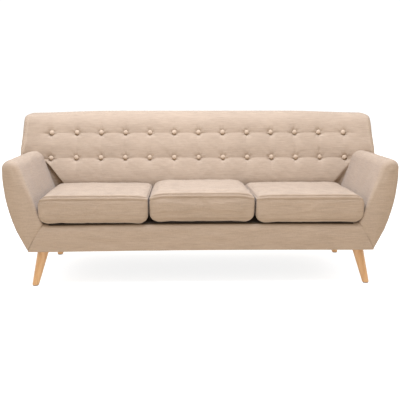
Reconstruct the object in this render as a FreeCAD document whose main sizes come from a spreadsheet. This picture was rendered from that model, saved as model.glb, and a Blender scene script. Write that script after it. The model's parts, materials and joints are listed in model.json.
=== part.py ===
import FreeCAD, Part
import math
import os
import Sketcher

# Three-seat sofa with a button-tufted back, upholstered arms, three loose box cushions and
# four splayed wooden legs. Millimetres; -Y is the front and Z is up. X runs to the right of
# someone who stands in front of the sofa, and "right" pieces lie there.
# The origin is on the floor, under the middle of the sofa.

doc = FreeCAD.newDocument("Sofa")
sheet = doc.addObject("Spreadsheet::Sheet", "Sizes")

DRIVING_SIZES = {
    # overall
    "half_width": 950,
    "half_depth": 395,
    "height": 810,
    # seat base
    "underside": 173,
    "frame_low": 180,
    "rail_high": 290,
    "border_high": 304,
    "seat_high": 318,
    "border_front": -385,
    "rail_front": -360,
    "rail_thick": 24,
    "side_rail_inner": 775,
    "side_rail_outer": 800,
    "side_rail_low": 205,
    "rear_rail_rear": 289,
    "deck_front": -328,
    "deck_half": 738,
    "brace_place": 250,
    "brace_high": 265,
    "leg_board_wide": 110,
    "leg_board_deep": 100,
    "seam_gap": 1.2,
    # arms
    "foot_half_width": 828,
    "front_half_width": 932,
    "front_foot_half_width": 823,
    "facing_half_width": 920,
    "facing_foot_half_width": 818,
    "arm_high": 602,
    "arm_swell": 540,
    "arm_top_radius": 62,
    "arm_front_top_radius": 50,
    "facing_top_radius": 38,
    "arm_inner_radius": 40,
    "arm_inner_low": 744,
    "arm_inner_lean": 20,
    "arm_padding": 22,
    "arm_rear": 87.5,
    "arm_flare_end": -270,
    "former_thick": 18,
    "arm_rail_inner": 866,
    "arm_rail_outer": 900,
    "arm_rail_low": 538,
    "arm_rail_high": 566,
    # back
    "back_foot": 320,
    "back_lean": 6.71,
    "back_straight": 690,
    "back_frame_half": 884,
    "back_frame_high": 597,
    "back_pad_rear": 36,
    "back_flat_half": 540,
    "back_slope_half": 888,
    "back_slope_drop": 21,
    "back_corner_half": 936,
    "back_corner_radius": 45,
    "post_inset": 6,
    "post_thick": 22,
    "post_wide": 45,
    "post_low": 12,
    "tack_strip_thick": 6,
    "tack_strip_low": 125,
    "tack_strip_wide": 50,
    "strap_thick": 1.5,
    "strap_low": 200,
    "strap_wide": 50,
    "strap_pitch": 72,
    "panel_thick": 5,
    "panel_low": 3,
    "panel_shoulder": 90,
    "side_panel_thick": 12,
    # seat cushions
    "cushion_high": 456,
    "cushion_rear": 130,
    "cushion_middle_half": 248,
    "cushion_outer_edge": 755,
    "cushion_gap": 2,
    "cushion_wadding": 14,
    "cushion_low_radius": 42,
    "cushion_top_radius": 28,
    "cushion_edge_radius": 22,
    "zip_half": 180,
    "zip_low": 380,
    "zip_high": 392,
    "zip_deep": 4,
    # buttons
    "button_pitch": 134,
    "button_low_row": 562,
    "button_high_row": 696,
    "button_radius": 13.5,
    "button_thick": 9,
    "button_dome": 6,
    "button_sunk": 6,
    "button_tilt": 20,
    # legs
    "leg_top_radius": 27.5,
    "leg_foot_radius": 15.5,
    "leg_top_high": 177,
    "glide_thick": 3,
    "plate_wide": 64,
    "screw_spread": 24,
    "screw_radius": 2,
    "screw_long": 18,
    "screw_head_radius": 3.8,
    "screw_head_thick": 1.6,
    "bolt_radius": 4,
    "front_foot_x": 797,
    "front_foot_y": -340,
    "front_top_x": 757,
    "front_top_y": -304,
    "rear_foot_x": 790,
    "rear_foot_y": 262,
    "rear_top_x": 752,
    "rear_top_y": 226,
    # springs
    "spring_level": 296,
    "spring_wire": 1.75,
    "spring_pitch": 124,
    "clip_thick": 9.5,
}

for row, (alias, size) in enumerate(DRIVING_SIZES.items(), start=1):
    sheet.set("A%d" % row, alias)
    sheet.set("B%d" % row, str(size))
    sheet.setAlias("B%d" % row, alias)
doc.recompute()

nodes = []
X_AXIS = FreeCAD.Vector(1, 0, 0)
UP = FreeCAD.Vector(0, 0, 1)


# ---------------------------------------------------------------- helpers

def value(expression):
    """The number that an expression over the sheet's aliases comes to."""
    return float(sheet.evalExpression(named(expression)))


def named(expression):
    """Writes the sheet's name in front of every alias in an expression."""
    words = []
    word = ""
    for letter in str(expression) + " ":
        if letter.isalnum() or letter == "_" or letter == ".":
            word += letter
            continue
        words.append("Sizes." + word if word in DRIVING_SIZES else word)
        words.append(letter)
        word = ""
    return "".join(words).strip()


def bind(thing, settings):
    """Ties properties of an object to expressions over the sheet."""
    for name, expression in settings.items():
        thing.setExpression(name, named(expression))


def keep(thing, label):
    """Makes an object one of the sofa's nodes."""
    thing.Label = label
    nodes.append(thing)
    return thing


def board(name, low, high):
    """A box between two corners; each corner holds three expressions."""
    box = doc.addObject("Part::Box", name)
    for side, start, end in zip(("Length", "Width", "Height"), low, high):
        bind(box, {side: "(%s) - (%s)" % (end, start)})
    bind(box, dict(zip(("Placement.Base.x", "Placement.Base.y", "Placement.Base.z"), low)))
    return box


def mirrored(source, label):
    """The left-hand twin of a right-hand piece, or the other way about."""
    twin = doc.addObject("Part::Mirroring", "Mirror_" + label)
    twin.Source = source
    twin.Normal = X_AXIS
    return keep(twin, label)


def pair(name, thing):
    """Keeps a right-hand piece and its left-hand twin."""
    keep(thing, name + "_right")
    return mirrored(thing, name + "_left")


def group(name, members):
    """One node made of separate solids."""
    compound = doc.addObject("Part::Compound", name)
    compound.Links = members
    return compound


def solid_from(name, shape):
    """A piece whose shape is worked out in code from the sheet."""
    feature = doc.addObject("Part::Feature", name)
    feature.Shape = shape
    feature.Placement = FreeCAD.Placement()
    return feature


def cut(name, base, tool):
    """One piece with another's room taken out of it."""
    result = doc.addObject("Part::Cut", name)
    result.Base = base
    result.Tool = tool
    return result


def common(name, first, second):
    """What two shapes share."""
    result = doc.addObject("Part::MultiCommon", name)
    result.Shapes = [first, second]
    return result


def arc_middle(start, end, radius, turn):
    """The middle of the arc between two points; turn is 1 when it bends to the left, else -1."""
    chord = end - start
    half = chord.Length / 2
    rise = radius - math.sqrt(max(radius * radius - half * half, 0.0))
    aside = FreeCAD.Vector(chord.y, -chord.x, 0).normalize()
    return (start + end) * 0.5 + aside * (rise * turn)


def trace(sketch, corners):
    """Draws a closed outline. Each corner is (x, y) or (x, y, radius, turn) with an arc to the next."""
    places = [FreeCAD.Vector(value(c[0]), value(c[1]), 0) for c in corners]
    count = len(corners)
    for index, corner in enumerate(corners):
        start = places[index]
        end = places[(index + 1) % count]
        if len(corner) == 2:
            sketch.addGeometry(Part.LineSegment(start, end))
            continue
        middle = arc_middle(start, end, value(corner[2]), corner[3])
        sketch.addGeometry(Part.Arc(start, middle, end))
    first_points = []
    for index, corner in enumerate(corners):
        forward = len(corner) == 2 or corner[3] == 1
        first_points.append(1 if forward else 2)
    for index, corner in enumerate(corners):
        following = (index + 1) % count
        own_end = 3 - first_points[index]
        sketch.addConstraint(
            Sketcher.Constraint("Coincident", index, own_end, following, first_points[following]))
    for index, corner in enumerate(corners):
        point = first_points[index]
        for axis, expression in (("DistanceX", corner[0]), ("DistanceY", corner[1])):
            place = sketch.addConstraint(
                Sketcher.Constraint(axis, -1, 1, index, point, value(expression)))
            sketch.setExpression("Constraints[%d]" % place, named(expression))
        if len(corner) == 4:
            place = sketch.addConstraint(Sketcher.Constraint("Radius", index, value(corner[2])))
            sketch.setExpression("Constraints[%d]" % place, named(corner[2]))


def plane_sketch(body, name, role, offset):
    """A sketch on one of the body's own planes, moved along the plane's normal."""
    sketch = body.newObject("Sketcher::SketchObject", name)
    plane = [part for part in body.Origin.OriginFeatures if part.Role == role][0]
    sketch.AttachmentSupport = [(plane, "")]
    sketch.MapMode = "FlatFace"
    bind(sketch, {"AttachmentOffset.Base.z": offset})
    return sketch


def padded_outline(name, role, offset, corners, length):
    """A body made by padding one outline. Outlines on XZ_Plane stand at y = -offset and grow forwards."""
    body = doc.addObject("PartDesign::Body", name)
    sketch = plane_sketch(body, name + "_outline", role, offset)
    trace(sketch, corners)
    pad = body.newObject("PartDesign::Pad", name + "_pad")
    pad.Profile = sketch
    bind(pad, {"Length": length})
    doc.recompute()
    return body


def round_edges(body, name, radius, chosen):
    """Rounds the edges of a body that the test picks out."""
    before = body.Tip
    names = ["Edge%d" % (i + 1) for i, edge in enumerate(before.Shape.Edges) if chosen(edge)]
    fillet = body.newObject("PartDesign::Fillet", name)
    fillet.Base = (before, names)
    bind(fillet, {"Radius": radius})
    doc.recompute()


def top_of(edge):
    """The height of an edge's higher end."""
    return max(v.Point.z for v in edge.Vertexes)


def lies_at(edge, axis, place):
    """True for an edge whose every end is at one place along an axis."""
    return all(abs(getattr(v.Point, axis) - place) < 0.01 for v in edge.Vertexes)


# ---------------------------------------------------------------- seat base

def make_base_frame():
    """The wooden box under the seat: four rails, two braces and the boards that carry the legs."""
    across = "side_rail_inner - 1"
    front_rail_rear = "rail_front + rail_thick"
    rear_rail_front = "rear_rail_rear - rail_thick"
    keep(board("Front_rail", ("-(%s)" % across, "rail_front", "frame_low"),
               (across, front_rail_rear, "rail_high")), "front_rail")
    keep(board("Rear_rail", ("-(%s)" % across, rear_rail_front, "frame_low"),
               (across, "rear_rail_rear", "rail_high")), "rear_rail")
    front_notch = front_rail_rear + " + leg_board_deep"
    rear_notch = rear_rail_front + " - 1 - leg_board_deep"
    side = [("rail_front", "side_rail_low"), (front_notch, "side_rail_low"), (front_notch, "frame_low"),
            (rear_notch, "frame_low"), (rear_notch, "side_rail_low"), ("rear_rail_rear", "side_rail_low"),
            ("rear_rail_rear", "rail_high"), ("rail_front", "rail_high")]
    pair("side_rail", padded_outline("Side_rail", "YZ_Plane", "side_rail_inner", side,
                                     "side_rail_outer - side_rail_inner"))
    brace_left = "brace_place - rail_thick / 2"
    brace_right = "brace_place + rail_thick / 2"
    pair("seat_brace", board("Seat_brace", (brace_left, front_rail_rear, "frame_low"),
                             (brace_right, rear_rail_front, "brace_high")))


def make_front_border():
    """The padded band over the front rail, with a lip that turns back over the rail's top."""
    low_half = "facing_foot_half_width - seam_gap"
    high_half = "arm_inner_low - seam_gap"
    corners = [("-(%s)" % low_half, "underside"), (low_half, "underside"),
               (high_half, "border_high"), ("-(%s)" % high_half, "border_high")]
    border = padded_outline("Front_border", "XZ_Plane", "-rail_front", corners,
                            "rail_front - border_front")
    lip_low = "rail_high + clip_thick + 0.5"
    lip_corners = [("-deck_half", lip_low), ("deck_half", lip_low),
                   ("deck_half", "border_high"), ("-deck_half", "border_high")]
    sketch = plane_sketch(border, "Lip_outline", "XZ_Plane", "-deck_front + 2")
    trace(sketch, lip_corners)
    lip = border.newObject("PartDesign::Pad", "Lip")
    lip.Profile = sketch
    bind(lip, {"Length": "deck_front - 2 - rail_front"})
    doc.recompute()
    front = value("border_front")
    high = value("border_high")
    round_edges(border, "Border_rounding", "8",
                lambda edge: lies_at(edge, "y", front) and lies_at(edge, "z", high))
    keep(border, "front_border")


def make_deck_and_dust_cover():
    """The padded cloth that the cushions lie on, and the thin black cloth under the base."""
    keep(board("Seat_deck", ("-deck_half", "deck_front", "rail_high + 9"),
               ("deck_half", "cushion_rear + 1", "seat_high")), "seat_deck")
    narrow = "side_rail_outer - leg_board_wide - 2"
    wide = "side_rail_outer - 2"
    near = "rail_front + 2"
    far = "rear_rail_rear - 2"
    front_notch = "rail_front + rail_thick + leg_board_deep + 2"
    rear_notch = "rear_rail_rear - rail_thick - 3 - leg_board_deep"
    right = [(narrow, near), (narrow, front_notch), (wide, front_notch),
             (wide, rear_notch), (narrow, rear_notch), (narrow, far)]
    left = [("-(%s)" % x, y) for x, y in reversed(right)]
    keep(padded_outline("Dust_cover", "XY_Plane", "frame_low - 1.2", right + left, "1.2"), "dust_cover")


def spring_path():
    """The zigzag line of one seat spring, along Y, with a straight tail at each end for its clip."""
    waves = 24
    level = value("spring_level")
    reach = 16
    bend = 6
    tail = 24
    start = value("rail_front + rail_thick") + bend
    end = value("rear_rail_rear - rail_thick") - bend - 4
    step = (end - start) / waves
    edges = []

    def point(x, y):
        return FreeCAD.Vector(x, y, level)

    def bend_edge(first, last, centre):
        towards = (first + last) * 0.5 - centre
        middle = centre + towards.normalize() * (first - centre).Length
        return Part.Arc(first, middle, last).toShape()

    edges.append(Part.makeLine(point(0, start - tail), point(0, start - bend)))
    edges.append(bend_edge(point(0, start - bend), point(bend, start), point(bend, start - bend)))
    here = point(bend, start)
    side = 1
    for wave in range(waves):
        y = start + wave * step
        edges.append(Part.makeLine(here, point(side * reach, y)))
        turn = Part.Arc(point(side * reach, y), point(side * (reach + step / 2), y + step / 2),
                        point(side * reach, y + step))
        edges.append(turn.toShape())
        here = point(side * reach, y + step)
        side = -side
    edges.append(Part.makeLine(here, point(-side * bend, end)))
    edges.append(bend_edge(point(-side * bend, end), point(0, end + bend), point(-side * bend, end + bend)))
    edges.append(Part.makeLine(point(0, end + bend), point(0, end + tail + 2)))
    return Part.Wire(edges)


def spring_places():
    """Where the twelve springs stand across the seat."""
    pitch = value("spring_pitch")
    count = 12
    return [pitch * (index - (count - 1) / 2) for index in range(count)]


def make_springs():
    """Twelve zigzag springs from the front rail to the rear rail, and the clips that hold them."""
    path = spring_path()
    start = path.Edges[0].Vertexes[0].Point
    ring = Part.makeCircle(value("spring_wire"), start, FreeCAD.Vector(0, 1, 0))
    spring = path.makePipeShell([Part.Wire(ring)], True, False)
    springs = [spring.translated(FreeCAD.Vector(x, 0, 0)) for x in spring_places()]
    keep(solid_from("Seat_springs", Part.makeCompound(springs)), "seat_springs")
    half = 9
    long = 16
    level = value("spring_level")
    rail_high = value("rail_high")
    clip_thick = value("clip_thick")
    bore = value("spring_wire") + 0.1
    clips = []
    for x in spring_places():
        for middle in (value("rail_front + rail_thick / 2"), value("rear_rail_rear - rail_thick / 2")):
            clip = Part.makeBox(2 * half, long, clip_thick,
                                FreeCAD.Vector(x - half, middle - long / 2, rail_high))
            hole = Part.makeCylinder(bore, 2 * long, FreeCAD.Vector(x, middle - long, level),
                                     FreeCAD.Vector(0, 1, 0))
            clips.append(clip.cut(hole))
    keep(solid_from("Spring_clips", Part.makeCompound(clips)), "spring_clips")


# ---------------------------------------------------------------- legs

def leg_line(end):
    """The foot and the top of a right-hand leg's middle line."""
    foot = FreeCAD.Vector(value(end + "_foot_x"), value(end + "_foot_y"), 0)
    top = FreeCAD.Vector(value(end + "_top_x"), value(end + "_top_y"), value("leg_top_high"))
    return foot, top


def along(start, direction, radius, length, name):
    """A cylinder along a slanted line."""
    cylinder = doc.addObject("Part::Cylinder", name)
    cylinder.Placement = FreeCAD.Placement(start, FreeCAD.Rotation(UP, direction))
    bind(cylinder, {"Radius": radius, "Height": length})
    return cylinder


def make_leg(end):
    """One right-hand tapered leg, cut level at the plate and at the glide, with a bore for its bolt."""
    foot, top = leg_line(end)
    direction = (top - foot).normalize()
    spare = 20
    line = (top - foot).Length
    taper = "(leg_top_radius - leg_foot_radius) / %.6f" % line
    cone = doc.addObject("Part::Cone", end + "_leg_cone")
    cone.Placement = FreeCAD.Placement(foot - direction * spare, FreeCAD.Rotation(UP, direction))
    bind(cone, {"Radius1": "leg_foot_radius - %d * %s" % (spare, taper),
                "Radius2": "leg_top_radius + %d * %s" % (spare, taper),
                "Height": "%.6f" % (line + 2 * spare)})
    slab = board(end + "_leg_slab", ("600", end + "_foot_y - 100", "glide_thick"),
                 ("900", end + "_foot_y + 100", "leg_top_high"))
    bore = along(top - direction * 40, direction, "bolt_radius + 0.1", "80", end + "_leg_bore")
    leg = cut(end + "_leg", common(end + "_leg_blank", cone, slab), bore)
    pair("leg_" + end, leg)


def screw_spots(end):
    """The four screws round a leg plate's middle, as expressions."""
    spots = []
    for across in ("-", "+"):
        for back in ("-", "+"):
            spots.append(("%s_top_x %s screw_spread" % (end, across),
                          "%s_top_y %s screw_spread" % (end, back)))
    return spots


def upright_cylinder(name, spot, low, high, radius):
    """A vertical cylinder at a place given by expressions."""
    cylinder = doc.addObject("Part::Cylinder", name)
    bind(cylinder, {"Radius": radius, "Height": "(%s) - (%s)" % (high, low),
                    "Placement.Base.x": spot[0], "Placement.Base.y": spot[1],
                    "Placement.Base.z": low})
    return cylinder


def make_leg_fixings():
    """Boards in the base's corners, steel plates under them, screws, bolts and glides."""
    boards = []
    plates = []
    screws = []
    bolts = []
    glides = []
    for end in ("front", "rear"):
        foot, top = leg_line(end)
        direction = (top - foot).normalize()
        holes = [upright_cylinder("%s_pilot_%d" % (end, i), spot, "frame_low - 10",
                                  "frame_low + screw_long + 1", "screw_radius + 0.2")
                 for i, spot in enumerate(screw_spots(end))]
        holes.append(along(top - direction * 20, direction, "bolt_radius + 0.1", "80",
                           end + "_bolt_room"))
        rooms = group(end + "_fixing_rooms", holes)
        near = "rail_front + rail_thick"
        if end == "rear":
            near = "rear_rail_rear - rail_thick - 1 - leg_board_deep"
        blank = board(end + "_leg_board_blank",
                      ("side_rail_outer - leg_board_wide", near, "frame_low"),
                      ("side_rail_outer", near + " + leg_board_deep", "side_rail_low"))
        boards.append(cut(end + "_leg_board", blank, rooms))
        half = "plate_wide / 2"
        plate = board(end + "_plate_blank",
                      ("%s_top_x - %s" % (end, half), "%s_top_y - %s" % (end, half), "leg_top_high"),
                      ("%s_top_x + %s" % (end, half), "%s_top_y + %s" % (end, half), "frame_low"))
        plates.append(cut(end + "_plate", plate, rooms))
        for i, spot in enumerate(screw_spots(end)):
            shank = upright_cylinder("%s_shank_%d" % (end, i), spot, "leg_top_high",
                                     "frame_low + screw_long", "screw_radius")
            head = upright_cylinder("%s_head_%d" % (end, i), spot, "leg_top_high - screw_head_thick",
                                    "leg_top_high", "screw_head_radius")
            screw = doc.addObject("Part::MultiFuse", "%s_screw_%d" % (end, i))
            screw.Shapes = [shank, head]
            screws.append(screw)
        bolts.append(along(top - direction * 38, direction, "bolt_radius", "66", end + "_bolt"))
        glides.append(upright_cylinder(end + "_glide", (end + "_foot_x", end + "_foot_y"), "0",
                                       "glide_thick", "leg_foot_radius - 2"))
    for label, members in (("leg_boards", boards), ("leg_plates", plates), ("plate_screws", screws),
                           ("hanger_bolts", bolts), ("foot_glides", glides)):
        right = group(label + "_right", members)
        left = doc.addObject("Part::Mirroring", label + "_left")
        left.Source = right
        left.Normal = X_AXIS
        keep(group(label + "_all", [right, left]), label)


# ---------------------------------------------------------------- arms

def swell_radius(width, foot):
    """The radius of an arm's outer curve, from its half width at the swell and at the foot."""
    return "(((%s) - (%s))^2 + (arm_swell - underside)^2) / (2 * ((%s) - (%s)))" % (width, foot, width, foot)


def swell_at(width, foot, height, inset="0"):
    """How far out the arm's outer curve stands at a height."""
    radius = swell_radius(width, foot)
    return "(%s) - (%s) + sqrt((%s - (%s))^2 - (arm_swell - (%s))^2)" % (width, radius, radius, inset, height)


def inner_line(height):
    """How far out the arm's leaning inner face stands at a height."""
    return "arm_inner_low + tan(arm_inner_lean) * ((%s) - border_high)" % height


def arm_edge(width, foot, top_radius, inset, low):
    """The arm's outline from the foot of its outer curve, over the top, to its inner face."""
    corner_level = "arm_high - (%s)" % top_radius
    corner_x = swell_at(width, foot, corner_level, inset)
    tangent_level = "arm_high - arm_inner_radius + arm_inner_radius * sin(arm_inner_lean)"
    tangent_x = inner_line(tangent_level)
    crown_x = "%s + arm_inner_radius * cos(arm_inner_lean)" % tangent_x
    crown = "arm_high - (%s)" % inset
    return [
        (swell_at(width, foot, low, inset), low, "%s - (%s)" % (swell_radius(width, foot), inset), 1),
        (corner_x, corner_level, "%s - (%s)" % (top_radius, inset), 1),
        ("%s - %s + (%s)" % (corner_x, top_radius, inset), crown),
        (crown_x, crown, "arm_inner_radius - (%s)" % inset, 1),
        ("%s + (%s) * cos(arm_inner_lean)" % (tangent_x, inset),
         "%s - (%s) * sin(arm_inner_lean)" % (tangent_level, inset)),
    ]


def reversed_edge(edge):
    """The same open outline walked the other way, its arcs now bending to the right."""
    back = []
    for index in range(len(edge) - 1, -1, -1):
        corner = edge[index][:2]
        before = edge[index - 1] if index else ()
        if len(before) == 4:
            corner = corner + (before[2], -before[3])
        back.append(corner)
    return back


def arm_section(name, y, width, foot, top_radius):
    """One upright section of the arm's padding: an upside-down U, open over the side rail."""
    outer = arm_edge(width, foot, top_radius, "0", "underside")
    inner = arm_edge(width, foot, top_radius, "arm_padding", "underside")
    toes = [("arm_inner_low", "border_high"),
            ("arm_inner_low + arm_padding / cos(arm_inner_lean)", "border_high")]
    sketch = doc.addObject("Sketcher::SketchObject", name)
    sketch.Placement = FreeCAD.Placement(FreeCAD.Vector(0, 0, 0), FreeCAD.Rotation(X_AXIS, 90))
    bind(sketch, {"Placement.Base.y": y})
    trace(sketch, outer + toes + reversed_edge(inner))
    return sketch


def make_arms():
    """Each arm: a padded tube, a leaf-shaped front facing, and the wooden frame inside."""
    front = "rail_front"
    loft = doc.addObject("Part::Loft", "Arm_padding")
    loft.Sections = [
        arm_section("Arm_front", front, "front_half_width", "front_foot_half_width", "arm_front_top_radius"),
        arm_section("Arm_swell", "arm_flare_end", "half_width", "foot_half_width", "arm_top_radius"),
        arm_section("Arm_rear", "arm_rear", "half_width", "foot_half_width", "arm_top_radius"),
    ]
    loft.Solid = True
    loft.Ruled = True
    pair("arm_padding", loft)

    leaf = arm_edge("facing_half_width", "facing_foot_half_width", "facing_top_radius", "0", "underside")
    leaf.append(("arm_inner_low", "border_high"))
    facing = padded_outline("Arm_facing", "XZ_Plane", "-(%s)" % front, leaf, "rail_front - border_front")
    face_y = value("border_front")
    seam_high = value("border_high") + 1
    round_edges(facing, "Facing_rounding", "12",
                lambda edge: lies_at(edge, "y", face_y) and top_of(edge) > seam_high)
    pair("arm_facing", facing)

    inset = "arm_padding + 1"
    former = arm_edge("front_half_width", "front_foot_half_width", "arm_front_top_radius", inset,
                      "side_rail_low")
    former.append(("%s + (%s) / cos(arm_inner_lean)" % (inner_line("rail_high"), inset), "rail_high"))
    former.append(("side_rail_outer", "rail_high"))
    former.append(("side_rail_outer", "side_rail_low"))
    front_former_rear = "%s + 1 + former_thick" % front
    rear_former_front = "arm_rear - 8 - former_thick"
    pair("arm_front_former", padded_outline("Arm_front_former", "XZ_Plane", "-(%s)" % front_former_rear,
                                            former, "former_thick"))
    pair("arm_rear_former", padded_outline("Arm_rear_former", "XZ_Plane", "-(arm_rear - 8)",
                                           former, "former_thick"))
    pair("arm_top_rail", board("Arm_top_rail", ("arm_rail_inner", front_former_rear, "arm_rail_low"),
                               ("arm_rail_outer", rear_former_front, "arm_rail_high")))
    pair("arm_tack_rail", board("Arm_tack_rail", ("side_rail_inner + 1", front_former_rear, "rail_high"),
                                ("side_rail_outer - 2", rear_former_front, "seat_high - 2")))


# ---------------------------------------------------------------- back

# height, half width, front of the straight stretch, front of the wings, size of the wings' rounding
BACK_LEVELS = (
    (304, 902, 134, 88, 3),
    (445, 942, 134, 88, 3),
    (562, 949, 190, 88, 3),
    (602, 948, 206, 88, 4),
    (640, 945, 219, 106, 28),
    (696, 941, 238, 140, 30),
    (774, 935, 292, 182, 30),
    (810, 928, 340, 226, 30),
)


def back_section(height, half, front, wing, rounding):
    """One level outline of the back: a straight front with its ends curving forward as wings."""
    straight = value("back_straight")
    rear = value("back_foot") + math.tan(math.radians(value("back_lean"))) * (height - value("underside"))
    corner = 40
    tip = FreeCAD.Vector(half - rounding, wing + rounding * 0.2, 0)
    tip_outer = FreeCAD.Vector(half, wing + rounding * 1.2, 0)
    tip_middle = FreeCAD.Vector(half - rounding * 0.23, wing + rounding * 0.3, 0)
    run = tip.x - straight
    rise = front - tip.y
    radius = (run * run + rise * rise) / (2 * rise)
    half_turn = math.asin(run / radius) / 2
    wing_middle = FreeCAD.Vector(straight + radius * math.sin(half_turn),
                                 front - radius * (1 - math.cos(half_turn)), 0)
    wing_start = FreeCAD.Vector(straight, front, 0)
    side_end = FreeCAD.Vector(half, rear - corner, 0)
    corner_middle = FreeCAD.Vector(half - corner * (1 - math.sqrt(0.5)),
                                   rear - corner * (1 - math.sqrt(0.5)), 0)
    rear_start = FreeCAD.Vector(half - corner, rear, 0)
    arcs = [(wing_start, wing_middle, tip), (tip, tip_middle, tip_outer), (tip_outer, side_end),
            (side_end, corner_middle, rear_start)]

    def flip(point):
        return FreeCAD.Vector(-point.x, point.y, 0)

    pieces = [(flip(wing_start), wing_start)] + arcs + [(rear_start, flip(rear_start))]
    pieces += [tuple(flip(point) for point in reversed(arc)) for arc in reversed(arcs)]
    sketch = doc.addObject("Sketcher::SketchObject", "Back_level_%d" % height)
    bind(sketch, {"Placement.Base.z": str(height)})
    for piece in pieces:
        sketch.addGeometry(Part.LineSegment(*piece) if len(piece) == 2 else Part.Arc(*piece))
    return sketch


def leaning(near, low):
    """Where a spot in the back's leaning frame stands: y and z as expressions."""
    y = "back_foot - (%s) * cos(back_lean) + (%s) * sin(back_lean)" % (near, low)
    z = "underside + (%s) * sin(back_lean) + (%s) * cos(back_lean)" % (near, low)
    return y, z


def leaning_board(name, left, right, near, thick, low, high):
    """A board standing in the back's leaning frame; near is its depth from the outside of the back."""
    box = doc.addObject("Part::Box", name)
    box.Placement = FreeCAD.Placement(FreeCAD.Vector(0, 0, 0),
                                      FreeCAD.Rotation(X_AXIS, -value("back_lean")))
    y, z = leaning("%s + %s" % (near, thick), low)
    bind(box, {"Length": "(%s) - (%s)" % (right, left), "Width": thick,
               "Height": "(%s) - (%s)" % (high, low),
               "Placement.Base.x": left, "Placement.Base.y": y, "Placement.Base.z": z})
    return box


def make_back_frame():
    """Posts, rails and webbing inside the back."""
    near = "post_inset"
    thick = "post_thick"
    rail_high = "back_frame_high - 7"
    rail_low = "%s - post_wide" % rail_high
    ends = "side_rail_inner + 20"
    pair("back_post", leaning_board("Back_post", "%s - post_wide" % ends, ends, near, thick,
                                    "post_low", rail_low))
    pair("back_upright", leaning_board("Back_upright", "brace_place - post_wide / 2",
                                       "brace_place + post_wide / 2", near, thick, "post_low", rail_low))
    rail_end = "back_frame_half - 14"
    keep(leaning_board("Back_top_rail", "-(%s)" % rail_end, rail_end, near, thick, rail_low, rail_high),
         "back_top_rail")
    inner = "%s + %s" % (near, thick)
    keep(leaning_board("Back_tack_strip", "-(%s)" % ends, ends, inner, "tack_strip_thick",
                       "tack_strip_low", "tack_strip_low + tack_strip_wide"), "back_tack_strip")
    straps = []
    for index in range(5):
        low = "strap_low + %d * strap_pitch" % index
        straps.append(leaning_board("Back_strap_%d" % index, "-(%s)" % ends, ends, inner, "strap_thick",
                                    low, low + " + strap_wide"))
    keep(group("Back_webbing", straps), "back_webbing")


def back_blank():
    """The back's padding before its buttons: lofted levels, trimmed to the front outline, hollow behind."""
    loft = doc.addObject("Part::Loft", "Back_loft")
    loft.Sections = [back_section(*level) for level in BACK_LEVELS]
    loft.Solid = True
    loft.Ruled = True
    beyond = "half_width + 10"
    below = "border_high - 10"
    above_arms = "arm_high + 98"
    shoulder = "height - back_slope_drop"
    corner = "%s - back_corner_radius" % shoulder
    outline = [
        (beyond, below), (beyond, above_arms),
        ("back_corner_half", corner, "back_corner_radius", 1), ("back_slope_half", shoulder),
        ("back_flat_half", "height"), ("-back_flat_half", "height"),
        ("-back_slope_half", shoulder, "back_corner_radius", 1), ("-back_corner_half", corner),
        ("-(%s)" % beyond, above_arms), ("-(%s)" % beyond, below),
    ]
    trim = padded_outline("Back_trim", "XZ_Plane", "-half_depth - 20", outline, "half_depth + 20")
    trimmed = common("Back_trimmed", loft, trim)
    spare = 80
    hollow = leaning_board("Back_hollow", "-(back_frame_half + 1)", "back_frame_half + 1", "-%d" % spare,
                           "%d + back_pad_rear" % spare, "-%d" % spare, "back_frame_high")
    return cut("Back_blank", trimmed, hollow)


def button_places():
    """Each button: its spot on the back's front surface, and the way it faces."""
    places = []
    tilt = math.radians(value("button_tilt"))
    wing_turn = tilt
    for level in (value("button_low_row"), value("button_high_row")):
        for index in range(-6, 7):
            x = index * value("button_pitch")
            turn = math.copysign(wing_turn, x) if abs(index) == 6 else 0.0
            facing = FreeCAD.Vector(-math.sin(turn) * math.cos(tilt),
                                    -math.cos(turn) * math.cos(tilt), math.sin(tilt))
            places.append((x, level, facing))
    return places


def front_surface(shape, x, level):
    """The first point of a shape that a line from the front meets."""
    start = FreeCAD.Vector(x, -500, level)
    line = Part.makeLine(start, FreeCAD.Vector(x, 500, level))
    met = shape.common(line)
    return min((v.Point for v in met.Vertexes), key=lambda point: point.y)


def button_shape():
    """A covered button: a flat back, a short rim and a domed front, facing up."""
    radius = value("button_radius")
    high = value("button_thick")
    dome = value("button_dome")
    dome_radius = (radius * radius + dome * dome) / (2 * dome)
    ball = Part.makeSphere(dome_radius, FreeCAD.Vector(0, 0, high - dome_radius))
    return Part.makeCylinder(radius, high).common(ball)


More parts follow.
